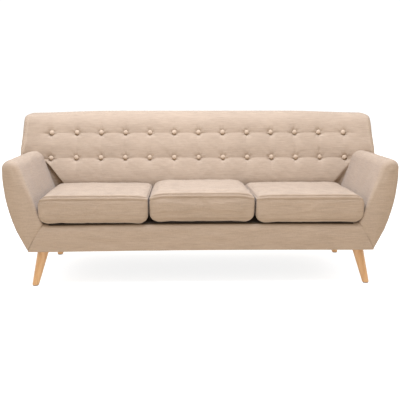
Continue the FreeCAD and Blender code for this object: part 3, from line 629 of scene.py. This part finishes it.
def back_profile(count):
    """The back's upright section in y and z at the middle: up the front, over the rounded top, down the
    rear."""
    top, low = BACK_HIGH.z, BACK_LOW.z
    shoulder = 0.748
    crest_from_rear = 0.030
    corner = 0.024
    heights = np.linspace(low, shoulder, 90)
    front = np.stack([level(heights, STRAIGHT_FRONT), heights], axis=1)
    rear_top = back_rear(top)
    crest = np.array([rear_top - crest_from_rear, top])
    uphill = (front[-1] - front[-4]) / np.linalg.norm(front[-1] - front[-4])
    reach = np.linalg.norm(crest - front[-1])
    over = curve_between(front[-1], uphill * reach * 1.35, crest, np.array([reach * 1.1, 0.0]), 41)
    rear_corner = arc_points((rear_top - corner - 2 * MM, top - corner), corner, 84, 4, 12)
    down = np.linspace(top - corner * 1.1, low, 60)
    rear = np.stack([back_rear(down), down], axis=1)
    line = np.concatenate([front, over, rear_corner, rear])
    turn_over = len(front) + len(over) - 8
    up_side = resample(line[:turn_over + 1], count // 2)
    down_side = resample(line[turn_over:], count // 2 + 1)[1:]
    return np.concatenate([up_side, down_side])


def tuft_depth(x, z):
    """How far the buttons and the stitched rows pull the front in, at places on the front."""
    pitch = BUTTON_PITCH
    last_button = BUTTONS_IN_ROW // 2
    nearest = np.clip(np.round(x / pitch), -last_button, last_button) * pitch
    across = x - nearest
    along = np.clip(np.abs(across) / (pitch / 2), 0, 1)
    in_row = smooth(((last_button + 0.6) * pitch - np.abs(x)) / (0.5 * pitch))
    total = np.zeros_like(x)
    for number, row in enumerate(BUTTON_ROWS):
        up = z - row
        radius = np.hypot(across, up)
        crease_line = up + 0.0110 * mound(across, 0.022)
        crease_depth = 0.0080 - 0.0032 * np.sin(along * math.pi / 2)
        crease = crease_depth * np.exp(-np.abs(crease_line) / 0.014) * in_row
        dimple = 0.0105 * mound(radius, 0.0165)
        angle = np.arctan2(up, across)
        folds = 0.0013 * np.cos(7 * angle + 1.7 * nearest / pitch + number) * mound(radius, 0.034)
        pull = 0.0038 * np.exp(-np.abs(across) / 0.013) * mound(up, 0.060) * in_row
        total += crease + dimple + folds * smooth(radius / 0.012) + pull
    low_row, high_row = BUTTON_ROWS
    swell = (0.0055 * mound(z - (low_row + high_row) / 2, 0.042)
             + 0.0045 * mound(z - low_row + 0.060, 0.045)
             + 0.0045 * mound(z - high_row - 0.055, 0.035))
    return total - swell * (0.35 + 0.65 * in_row)


def tuck_depth(x, z):
    """How far the cloth dives between the back and the arm: a narrow three-cornered pocket above the
    cushions, wide at its foot and closing just under the arm's top. It is deeper and sharper on the left."""
    foot, tip = 0.436, 0.546
    foot_inner, lean = 0.741, 0.087
    past_arm = 0.024
    climb = np.clip((z - foot) / (tip - foot), -0.1, 1)
    inner = foot_inner + lean * climb
    outer = ARM_INNER_LOW + ARM_LEAN * (z - SEAT_FRAME_TOP) + past_arm
    soft = np.where(x < 0, 0.010, 0.042)
    opening = smooth((np.abs(x) - inner) / soft) * smooth((outer - np.abs(x)) / 0.012)
    deep = np.where(x < 0, 0.030, 0.018)
    return deep * opening * smooth((tip + 0.014 - z) / 0.060)


def make_back():
    """The tufted back with its wings, one closed skin."""
    around, across = 330, 471
    crest_drop = 0.010
    section = back_profile(around)
    y0, z0 = section[:, 0], section[:, 1]
    front_y = level(z0, STRAIGHT_FRONT)
    depth_share = smooth((back_rear(z0) - y0) / np.maximum(back_rear(z0) - front_y, 1e-6))
    half = level(z0, HALF)
    rounding = level(z0, WING_ROUND)
    wing_rise = front_y - level(z0, WING_FRONT)
    wing_run = np.maximum(half - rounding - BACK_STRAIGHT, 0.05)
    rings = []
    for column in np.linspace(-1, 1, across):
        x = column * (half - rounding)
        run = np.clip((np.abs(x) - BACK_STRAIGHT) / wing_run, 0, 1)
        y = y0 - wing_rise * run ** 2 * depth_share
        drop = crest_drop * smooth((np.abs(x) - 0.50) / 0.42) * smooth((z0 - 0.60) / (BACK_HIGH.z - 0.60))
        rings.append(np.stack([x, y, z0 - drop], axis=1))

    def end_cap(ring, side):
        flat = ring[:, (1, 2)]
        foot = nearest_on(middle_line(flat, 0.05, 0.042), flat)
        foot = (foot + foot[::-1]) / 2
        spine = np.column_stack([side * (level(foot[:, 1], HALF) - rounding), foot])
        return cap_rings(ring, spine, (side, 0, 0), rounding, 0.0, rounds=6, fills=10)

    made = weld(tube("back", end_cap(rings[0], -1)[::-1] + rings + end_cap(rings[-1], 1)))
    points = coords(made)
    facing = normals(made)
    on_front = smooth((-facing[:, 1] - 0.15) / 0.4) * smooth((0.80 - points[:, 2]) / 0.03)
    points -= facing * (tuft_depth(points[:, 0], points[:, 2]) * on_front)[:, None]
    points[:, 1] += tuck_depth(points[:, 0], points[:, 2]) * on_front
    facing = normals(made)
    dents = 0.0010 * ripple(points, 0.14, 11) + 0.0005 * ripple(points, 0.045, 12)
    points += facing * (dents * on_front)[:, None]
    set_coords(made, points)
    return made


def surface_tree(made):
    """A search tree over a piece's faces."""
    depsgraph = bpy.context.evaluated_depsgraph_get()
    return BVHTree.FromObject(made, depsgraph)


def make_buttons(name, row, tree):
    """A row of covered buttons, each seated in the dimple it pulls. The end ones turn with the wings."""
    points = []
    faces = []
    rings, around = 9, 24
    dome, seat_height = 0.0078, 0.0030
    edge_angle = math.pi * 0.62
    tilt, end_turn = math.radians(20), math.radians(20)
    for index in range(BUTTONS_IN_ROW):
        place = index - BUTTONS_IN_ROW // 2
        hit = tree.ray_cast(Vector((place * BUTTON_PITCH, -1.0, row)), Vector((0, 1, 0)))[0]
        at_end = abs(place) == BUTTONS_IN_ROW // 2
        turn = math.copysign(end_turn, place) if at_end else 0.0
        facing = Vector((-math.sin(turn) * math.cos(tilt), -math.cos(turn) * math.cos(tilt), math.sin(tilt)))
        side = facing.cross(Vector((0, 0, 1))).normalized()
        over = side.cross(facing)
        seat = hit + facing * seat_height
        base = len(points)
        points.append(seat + facing * dome)
        for ring in range(1, rings + 1):
            turn_down = edge_angle * ring / rings
            radius = BUTTON_RADIUS * math.sin(turn_down)
            height = dome * math.cos(turn_down)
            for step in range(around):
                angle = 2 * math.pi * step / around
                pleated = radius * (1 + 0.015 * math.cos(8 * angle + index) * (ring / rings))
                points.append(seat + side * (math.cos(angle) * pleated)
                              + over * (math.sin(angle) * pleated) + facing * height)
        first = base + 1
        for step in range(around):
            faces.append((base, first + step, first + (step + 1) % around))
        for ring in range(rings - 1):
            for step in range(around):
                a = first + ring * around + step
                b = first + ring * around + (step + 1) % around
                faces.append((a, a + around, b + around, b))
        last = first + (rings - 1) * around
        faces.append(tuple(last + step for step in range(around))[::-1])
    return weld(new_object(name, points, faces), 1e-7)


# ---------------------------------------------------------------- seat base

BAND_CREST = SEAT_FRAME_TOP - 0.0045
BAND_EDGE = 0.027
BAND_ARCH = 0.004
CLOTH_THICK = 0.004


def band_arch(x):
    """How far the pulled cloth of the band arches up towards the middle."""
    return BAND_ARCH * np.clip(1 - (x / 0.70) ** 2, 0, 1)


def make_front_band():
    """The padded band over the front rail: rounded over its top edge, rising a little into each arm and
    meeting it at a faint seam."""
    low, high = BORDER_LOW, BORDER_HIGH
    foot_edge, padding = 0.004, 0.024
    bottom_half, top_half = high.x + 3 * MM, ARM_INNER_LOW + 4 * MM
    end_rise, end_run = 0.010, 0.045
    seam_depth, seam_run = 0.0012, 0.007
    face_y, face_bulge = FRONT - MM / 2, MM
    rounded_foot = arc_points((FRONT + foot_edge, low.z + foot_edge), foot_edge, 270, 180, 5)
    face = [(face_y, low.z + 0.02), (face_y - face_bulge, (low.z + high.z) / 2),
            (face_y, BAND_CREST - BAND_EDGE)]
    rounded_top = arc_points((FRONT + BAND_EDGE, BAND_CREST - BAND_EDGE), BAND_EDGE, 180, 90, 14)
    lip = [(high.y, BAND_CREST - MM / 2), (high.y, high.z - 0.02)]
    inside = [(FRONT + padding, high.z - 0.03), (FRONT + padding, low.z)]
    section = resample(np.concatenate([rounded_foot, face, rounded_top, lip, inside]), 130)
    up = np.clip((section[:, 1] - low.z) / (SEAT_FRAME_TOP - low.z), 0, 1)
    half = bottom_half + (top_half - bottom_half) * up
    toe = arm_foot(arm_width(FRONT))
    start = outer_curve(arm_width(FRONT), toe)[1]
    rings = []
    for share in np.linspace(-1, 1, 300):
        x = abs(share) * half
        rise = end_rise * np.clip((x - half + end_run) / end_run, 0, 1) ** 2 * smooth((up - 0.55) / 0.45)
        seam = seam_depth * smooth((x - half + seam_run) / 0.003) * (section[:, 0] < FRONT + 0.010)
        x, z = soften_toe(x, section[:, 1] + rise + band_arch(x), toe, start)
        rings.append(np.stack([math.copysign(1, share) * x, section[:, 0] + seam, z], axis=1))
    made = weld(tube("front_band", rings))
    points = coords(made)
    facing = normals(made)
    wrinkle = 0.0009 * ripple(points * (0.35, 1, 1), 0.05, 21) * (facing[:, 1] < -0.5)
    points += facing * wrinkle[:, None]
    set_coords(made, points)
    return made


def side_line(height):
    """How far out the arm's outer curve stands at a height below its widest point."""
    radius = outer_curve(HALF_WIDTH, ARM_FOOT)[0]
    return HALF_WIDTH - radius + math.sqrt(radius ** 2 - (ARM_SWELL - height) ** 2)


def make_rear_side():
    """The right curved panel that closes the base behind the arm, turned round the rear corner and under the
    side rail."""
    low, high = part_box("rear_side_panel_right")
    start = outer_curve(HALF_WIDTH, ARM_FOOT)[1]
    corner, thick = 0.006, 0.004
    inner_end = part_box("side_rail_right")[1].x - MM
    front = low.y - MM
    under = low.z + thick
    toe_top = low.z + 1.3 * TOE_ROUND
    heights = np.concatenate([np.linspace(low.z, under, 4), np.linspace(under + MM, toe_top, 8)[:-1],
                              np.linspace(toe_top, high.z, 18)])
    rings = []
    for height in heights:
        side, rear = side_line(height), back_rear(height)
        inside = inner_end + 2 * MM if height <= under else side - thick
        round_corner = arc_points((side - corner, rear - corner), corner, 0, 90, 7)
        inner_line = [(inner_end, rear), (inner_end, rear - thick), (inside, rear - thick), (inside, front)]
        outline = np.concatenate([[(side, front)], round_corner, inner_line, [(side, front)]])
        outline = resample(outline, 181)[:-1]
        x, z = soften_toe(outline[:, 0], np.full(len(outline), height), ARM_FOOT, start)
        rings.append(np.stack([x, outline[:, 1], z], axis=1))
    return close_ends(tube("rear_side_right", rings))


def make_back_panel():
    """The outside back: cloth over board, swelling very slightly, its edges turned in and its foot turned
    under to the rear rail."""
    low, high = PANEL_LOW, PANEL_HIGH
    columns = 90
    margin, sink, swelling = 0.012, 0.002, 0.004
    rail_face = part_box("rear_rail")[1].y - 4 * MM
    points = []
    for row in np.linspace(0, 1, 40):
        height = low.z + MM + (high.z - low.z - 3 * MM) * row
        half = min(high.x, side_line(min(height, ARM_SWELL)) - margin)
        for column in np.linspace(-1, 1, columns):
            edge = min(1 - abs(column), min(row, 1 - row) * 0.35)
            swell = swelling * float(smooth(edge / 0.03)) - sink
            points.append((column * half, back_rear(height) + swell * math.cos(BACK_TILT), height))
    turned_under = [(x, rail_face + (y - rail_face) * share, z)
                    for share in (0, 0.3, 0.6, 0.9) for x, y, z in points[:columns]]
    made = grid("back_panel", turned_under + points, columns)
    modifier(made, "SOLIDIFY", thickness=CLOTH_THICK, offset=-1.0)
    return weld(made)


def make_deck():
    """The dark padded cloth that the seat cushions lie on, dented between the springs. Its front edge is sewn
    down over the band's top, where its dark warm colour is painted shade for the gap under the cushions."""
    low, high = DECK_LOW, DECK_HIGH
    rows, columns = 60, 140
    # The front flap lies over the band's top, so the deck cloth's dark colour paints shade into the gap under
    # the cushions.
    front, flap_end = FRONT + 0.014, FRONT + 0.050
    spring_pitch, dent_depth = 0.124, 0.0008
    points = []
    for y in np.linspace(front, high.y, rows):
        past_crest = max(FRONT + BAND_EDGE - y, 0)
        band_top = BAND_CREST + MM - BAND_EDGE + math.sqrt(BAND_EDGE ** 2 - past_crest ** 2)
        for x in np.linspace(low.x, high.x, columns):
            edge = min(x - low.x, high.x - x, high.y - y)
            raised = float(smooth((y - flap_end) / 0.045) * (0.3 + 0.7 * smooth(edge / 0.03)))
            on_band = band_top + float(band_arch(x))
            on_springs = high.z - 0.0012 + dent_depth * math.cos(2 * math.pi * x / spring_pitch)
            points.append((x, y, on_band + (on_springs - on_band) * raised))
    made = grid("seat_deck_cloth_and_gap_shade", points, columns)
    modifier(made, "SOLIDIFY", thickness=CLOTH_THICK, offset=-1.0)
    return weld(made)


# ---------------------------------------------------------------- legs

def make_leg(end):
    """A right-hand tapered round leg with a softened foot edge, splayed from its foot mount to its top."""
    low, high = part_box("leg_%s_right" % end)
    mounts = {mount["name"]: mount["pos_m"] for mount in frame["record"]["mounts"]}
    foot_x, foot_y, _ = mounts["foot_%s_right" % end]
    foot_radius, top_radius = 0.0155, 0.0275
    skin = 1.012
    soft_share, softening = 0.018, 0.0018
    towards_rear = 1 if end == "front" else -1
    splay_y = high.y - low.y - foot_radius - top_radius - MM
    foot = np.array([foot_x, foot_y, low.z])
    top = np.array([low.x + top_radius + 1.2 * MM, foot_y + towards_rear * splay_y, high.z])
    angle = np.linspace(0, 2 * math.pi, 48, endpoint=False)
    circle = np.stack([np.cos(angle), np.sin(angle), np.zeros(len(angle))], axis=1)
    rings = []
    for share in np.concatenate([[0, soft_share / 3, soft_share], np.linspace(0.04, 1, 26)]):
        soften = softening * (1 - min(share / soft_share, 1)) ** 1.6
        radius = foot_radius + (top_radius - foot_radius) * share - soften
        rings.append(foot + (top - foot) * share + circle * radius * skin)
    return close_ends(tube("leg_%s_right_turned" % end, rings))


# ---------------------------------------------------------------- seat cushions

# All three covers are cut to one pattern, the middle cushion's, and then settled into their places.
PATTERN_LOW, PATTERN_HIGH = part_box("cushion_cover_centre")
PATTERN_SLACK = 0.001
SIDE_SWELL = 0.011
COVER_TOP = PATTERN_HIGH.z - 0.006
TOP_SEAM = COVER_TOP - 0.009
TOPSTITCH = TOP_SEAM - 0.016
LOW_SEAM = PATTERN_LOW.z + 0.014
SEAM_THREAD = 0.0015
CUSHION_CROWN = 0.006
FRONT_CORNER_ROUND = 0.026
FOAM_MARGIN = 0.013
# height of the top panel's front and rear edges, fall of its two ends, droop over the front band,
# and the side that rests by an arm
CUSHION_SET = {
    "left": (0.4455, 0.431, 0.007, 0.011, -1),
    "centre": (0.4560, 0.441, 0.015, 0.004, 0),
    "right": (0.4455, 0.431, 0.007, 0.011, 1),
}


def cushion_block():
    """A box cushion's plain cover before it is filled, a little smaller than the cushion."""
    west, east = PATTERN_LOW.x + PATTERN_SLACK, PATTERN_HIGH.x - PATTERN_SLACK
    front, rear = PATTERN_LOW.y + PATTERN_SLACK, PATTERN_HIGH.y - PATTERN_SLACK
    bottom, top = PATTERN_LOW.z + 0.002, COVER_TOP
    low_corner, top_corner = 0.034, 0.018
    section = np.concatenate([
        arc_points((east - low_corner, bottom + low_corner), low_corner, -90, 0, 14),
        arc_points((east - top_corner, top - top_corner), top_corner, 0, 90, 12),
        arc_points((west + top_corner, top - top_corner), top_corner, 90, 180, 12),
        arc_points((west + low_corner, bottom + low_corner), low_corner, 180, 270, 14),
    ])
    section = resample(np.concatenate([section, section[:1]]), 161)[:-1]
    low_edge, top_edge = 0.022, 0.009
    middle_z = (bottom + top) / 2
    edge = low_edge + (top_edge - low_edge) * smooth((section[:, 1] - bottom - 0.03) / 0.06)

    def ring_at(y, towards_rear):
        return np.stack([section[:, 0], y + towards_rear * edge, section[:, 1]], axis=1)

    def spine(ring):
        inside = ring.copy()
        inside[:, 0] = np.clip(ring[:, 0], west + 0.06, east - 0.06)
        inside[:, 2] = middle_z
        return inside

    rings = [ring_at(y, 0) for y in np.linspace(rear - low_edge, front + low_edge, 56)[1:-1]]
    rings = [ring_at(rear, -1)] + rings + [ring_at(front, 1)]
    front_cap = cap_rings(rings[-1], spine(rings[-1]), (0, -1, 0), edge, 0.0, rounds=6, fills=10)
    rear_cap = cap_rings(rings[0], spine(rings[0]), (0, 1, 0), edge, 0.0, rounds=6, fills=10)
    return weld(tube("cover_pattern", rear_cap[::-1] + rings + front_cap))


def fill_out(made, outward, inward):
    """Fills the cover like a stuffed cushion: a short cloth simulation with pressure inside.
    The cloth may swell and sink only so far, because the foam inside holds it."""
    last_frame = 20
    before = coords(made)
    facing = normals(made)
    cloth = made.modifiers.new("Cloth", "CLOTH")
    adjust(cloth.settings, use_pressure=True, uniform_pressure_force=4.0, quality=4, tension_stiffness=30,
           compression_stiffness=30, shear_stiffness=10, bending_stiffness=1.0)
    cloth.settings.effector_weights.gravity = 0.0
    adjust(cloth.point_cache, frame_start=1, frame_end=last_frame)
    scene = bpy.context.scene
    for number in range(1, last_frame + 1):
        scene.frame_set(number)
    mesh = evaluated_mesh(made)
    after = rows_of(mesh.vertices, "co")
    bpy.data.meshes.remove(mesh)
    made.modifiers.clear()
    scene.frame_set(1)
    travel = ((after - before) * facing).sum(axis=1)
    set_coords(made, before + facing * np.clip(travel, -inward, outward)[:, None])


def cover_pattern():
    """The filled cover that the three cushions share."""
    made = cushion_block()
    modifier(made, "REMESH", mode="VOXEL", voxel_size=0.006)
    fill_out(made, 0.007, 0.001)
    modifier(made, "SMOOTH", factor=0.5, iterations=8)
    modifier(made, "SUBSURF", levels=1, render_levels=1)
    return made


def round_edge(first, second, radius):
    """How far points move in from two faces to round the edge between them, given their distances from
    both."""
    a = np.maximum(radius - first, 0)
    b = np.maximum(radius - second, 0)
    spare = 1 - radius / np.maximum(np.hypot(a, b), radius)
    return a * spare, b * spare


def settle(points, place):
    """Moves points of the shared cover to where one cushion has settled: its width and tilt, its crown and
    soft ends, its droop over the front band, and the rounder side beside an arm."""
    low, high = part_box("cushion_cover_" + place)
    front_top, rear_top, end_fall, droop, outer = CUSHION_SET[place]
    across = (points[:, 0] - PATTERN_LOW.x) / (PATTERN_HIGH.x - PATTERN_LOW.x)
    back = np.clip((points[:, 1] - low.y) / (high.y - low.y), 0, 1)
    west, east = low.x - SIDE_SWELL * (outer < 0), high.x + SIDE_SWELL * (outer > 0)
    x = west + (east - west) * across
    y = points[:, 1].copy()
    z = points[:, 2].copy()
    if outer:
        top_round = 0.058 - 0.034 * back
        beside = outer * ((east if outer > 0 else west) - x)
        move_side, move_down = round_edge(beside, COVER_TOP - z, top_round)
        x -= outer * move_side
        z -= move_down
        beside += move_side
        move_side, move_back = round_edge(beside, y - low.y, FRONT_CORNER_ROUND)
        x -= outer * move_side
        y += move_back
    share = (z - low.z) / (COVER_TOP - low.z)
    end = np.clip((np.abs(2 * across - 1) - 0.62) / 0.38, 0, 1)
    crown = CUSHION_CROWN * (1 - (2 * across - 1) ** 2) * (1 - (2 * back - 1) ** 2)
    z = low.z + share * (front_top + (rear_top - front_top) * back - low.z)
    z += crown * smooth((share - 0.8) / 0.2) - end_fall * end ** 2 * share
    z -= droop * smooth((0.16 - back) / 0.12) * (1 - share)
    return np.stack([x, y, z], axis=1)


def seam_relief(heights):
    """How far the cover's sides are drawn in at its seams and topstitching, and raised along the welt."""
    groove, welt = 0.0034, 0.0050
    relief = 0.0014 * mound(heights - (TOP_SEAM + TOPSTITCH) / 2, welt)
    for height, depth in ((TOP_SEAM, 0.0024), (TOPSTITCH, 0.0014), (LOW_SEAM, 0.0018)):
        relief -= depth * mound(heights - height, groove)
    return relief


def bare_zip(points, place):
    """Presses a narrow strip of the cover's rear in behind the zip's tape, so that the tape lies bare."""
    low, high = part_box("zip_tape_" + place)
    margin, fade = 0.006, 0.004
    rear_depth = 0.02
    share = points[:, 1] > PATTERN_HIGH.y - rear_depth
    for axis in (0, 2):
        beyond = np.maximum(low[axis] - points[:, axis], points[:, axis] - high[axis])
        share = share * smooth((margin - beyond) / fade)
    points[:, 1] -= np.maximum(points[:, 1] - low.y + MM / 2, 0) * share


def make_cushion(place, pattern):
    """One seat cushion: the filled cover with its seams and topstitching drawn in, settled into its place."""
    low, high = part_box("cushion_cover_" + place)
    outer = CUSHION_SET[place][-1]
    made = pattern.copy()
    made.data = pattern.data.copy()
    made.name = "seat_cushion_" + place
    show(made)
    flat = coords(pattern)
    on_side = smooth((0.75 - np.abs(normals(pattern)[:, 2])) / 0.35)
    points = settle(flat, place)
    set_coords(made, points)
    seed = 31 + list(CUSHION_SET).index(place)
    dents = 0.0011 * ripple(points, 0.13, seed) + 0.0005 * ripple(points, 0.045, seed + 10)
    calm = 0.35 + 0.65 * smooth((flat[:, 2] - PATTERN_LOW.z - 0.03) / 0.05)
    points += normals(made) * (seam_relief(flat[:, 2]) * on_side + dents * calm)[:, None]
    west, east = low.x - 1.2 * SIDE_SWELL * (outer < 0), high.x + 1.2 * SIDE_SWELL * (outer > 0)
    points[:, 0] = np.clip(points[:, 0], west, east)
    points[:, 1] = np.clip(points[:, 1], low.y - 3 * MM, high.y)
    bare_zip(points, place)
    set_coords(made, points)
    return made


def make_foam(place):
    """The foam block inside a cushion, pressed to the same tilt and crown as its cover."""
    made = cushion_block()
    made.name = "seat_foam_" + place
    middle = np.array((PATTERN_LOW + PATTERN_HIGH) / 2)
    room = np.array(PATTERN_HIGH - PATTERN_LOW)
    inside = middle + (coords(made) - middle) * (1 - 2 * FOAM_MARGIN / room)
    set_coords(made, settle(inside, place))
    return made


def cushion_seams(place, cushion, pattern):
    """The sewn lines round a cushion's border, as thin threads lying in their grooves."""
    pattern_tree, cushion_tree = surface_tree(pattern), surface_tree(cushion)
    middle = (PATTERN_LOW + PATTERN_HIGH) / 2
    outside = 0.4
    seams = []
    for name, height in (("top", TOP_SEAM), ("stitch", TOPSTITCH), ("low", LOW_SEAM)):
        centre = Vector((middle.x, middle.y, height))
        path = []
        for angle in np.linspace(0, 2 * math.pi, 480, endpoint=False):
            aim = Vector((math.cos(angle), math.sin(angle), 0))
            aim *= outside / max(abs(aim.x), abs(aim.y))
            path.append(tuple(pattern_tree.ray_cast(centre + aim, -aim.normalized())[0]))
        path = settle(np.array(path), place)
        path = np.array([tuple(cushion_tree.find_nearest(Vector(point))[0]) for point in path])
        path = resample(np.concatenate([path, path[:1]]), 421)[:-1]
        for _ in range(3):
            path = (np.roll(path, 1, axis=0) + path * 2 + np.roll(path, -1, axis=0)) / 4
        seams.append(thread_loop("seam_%s_%s" % (name, place), path, SEAM_THREAD))
    return seams


# ---------------------------------------------------------------- build the sofa

def build():
    """Every piece of the sofa, fixed to its body."""
    sofa = "sofa_frame"
    arm = make_arm()
    twin = mirror_copy(arm, "arm_left")
    for made, side in ((arm, "right"), (twin, "left")):
        dress(made, UPHOLSTERY, "upholstery", sofa, "arm_padding_" + side, "arm_facing_" + side)
    back = make_back()
    dress(back, UPHOLSTERY, "upholstery", sofa, "back_padding")
    tree = surface_tree(back)
    for name, row in zip(("lower", "upper"), BUTTON_ROWS):
        buttons = make_buttons("buttons_" + name, row, tree)
        dress(buttons, BUTTON_LINEN_PAINTED_HIGHLIGHT, "upholstery", sofa, "back_buttons_" + name)
    band = make_front_band()
    dress(band, UPHOLSTERY, "upholstery", sofa, "front_border")
    side = make_rear_side()
    twin = mirror_copy(side, "rear_side_left")
    dress(side, UPHOLSTERY, "upholstery", sofa, "rear_side_panel_right")
    dress(twin, UPHOLSTERY, "upholstery", sofa, "rear_side_panel_left")
    dress(make_back_panel(), UPHOLSTERY, "upholstery", sofa, "back_outside_panel")
    dress(make_deck(), DECK_CLOTH_AND_GAP_SHADE, "deck_cloth", sofa, "seat_deck")
    for end in ("front", "rear"):
        leg = make_leg(end)
        twin = mirror_copy(leg, "leg_%s_left_turned" % end)
        dress(leg, LEG_WOOD, "leg_wood", sofa, "leg_%s_right" % end)
        dress(twin, LEG_WOOD, "leg_wood", sofa, "leg_%s_left" % end)
    pattern = cover_pattern()
    for place in ("left", "centre", "right"):
        cushion = make_cushion(place, pattern)
        body = "seat_cushion_" + place
        dress(cushion, UPHOLSTERY, "upholstery", body, "cushion_cover_" + place)
        foam = make_foam(place)
        dress(foam, FOAM, "foam", body, "cushion_foam_" + place)
        for seam in cushion_seams(place, cushion, pattern):
            dress(seam, SEAM, "upholstery", body)
    bpy.data.objects.remove(pattern)


# ---------------------------------------------------------------- studio

LAMP_COLOUR = (0.81, 1.0, 1.39)
CAMERA_PLACE = (-0.100, -3.3166, 0.9081)
CAMERA_DOWN = math.radians(9.49)
CAMERA_TURN = -0.0306


def make_floor():
    """A plain pale floor that glows a little, so that the shadow on it stays faint."""
    reach = 12
    corners = [(-reach, -reach, 0), (reach, -reach, 0), (reach, reach, 0), (-reach, reach, 0)]
    floor = new_object("floor", corners, [(0, 1, 2, 3)])
    material, _, shader = new_material("floor_white")
    fill_inputs(shader, {"Base Color": (0.45, 0.43, 0.40, 1), "Roughness": 0.9,
                         "Emission Color": (1, 1, 1, 1), "Emission Strength": 0.80})
    floor.data.materials.append(material)


def make_lamp(name, place, aim, size, power):
    """A square soft light."""
    lamp = bpy.data.lights.new(name, "AREA")
    adjust(lamp, size=size, energy=power, color=LAMP_COLOUR)
    towards = (Vector(aim) - Vector(place)).to_track_quat("-Z", "Y")
    made = show(bpy.data.objects.new(name, lamp))
    adjust(made, location=place, rotation_mode="QUATERNION", rotation_quaternion=towards)


def make_studio():
    """The floor, a white surround, soft light from above and both sides, and the camera."""
    make_floor()
    world = bpy.data.worlds.new("studio")
    world.use_nodes = True
    fill_inputs(world.node_tree.nodes["Background"], {"Color": (1, 1, 1, 1), "Strength": 1.08})
    bpy.context.scene.world = world
    bpy.context.scene.view_settings.view_transform = "Standard"
    make_lamp("top_light", (-0.2, -0.65, 3.0), (0, 0.1, 0.45), 2.0, 158)
    make_lamp("left_light", (-3.2, -1.2, 2.6), (0, 0, 0.4), 1.4, 16)
    make_lamp("right_light", (3.2, -1.2, 2.6), (0, 0, 0.4), 1.4, 12)
    camera = bpy.data.cameras.new("photo_camera")
    adjust(camera, lens=57.5, sensor_width=36)
    made = show(bpy.data.objects.new("photo_camera", camera))
    adjust(made, location=CAMERA_PLACE, rotation_euler=(math.pi / 2 - CAMERA_DOWN, 0, CAMERA_TURN))
    bpy.context.scene.camera = made


dress_cad_nodes()
build()
make_studio()
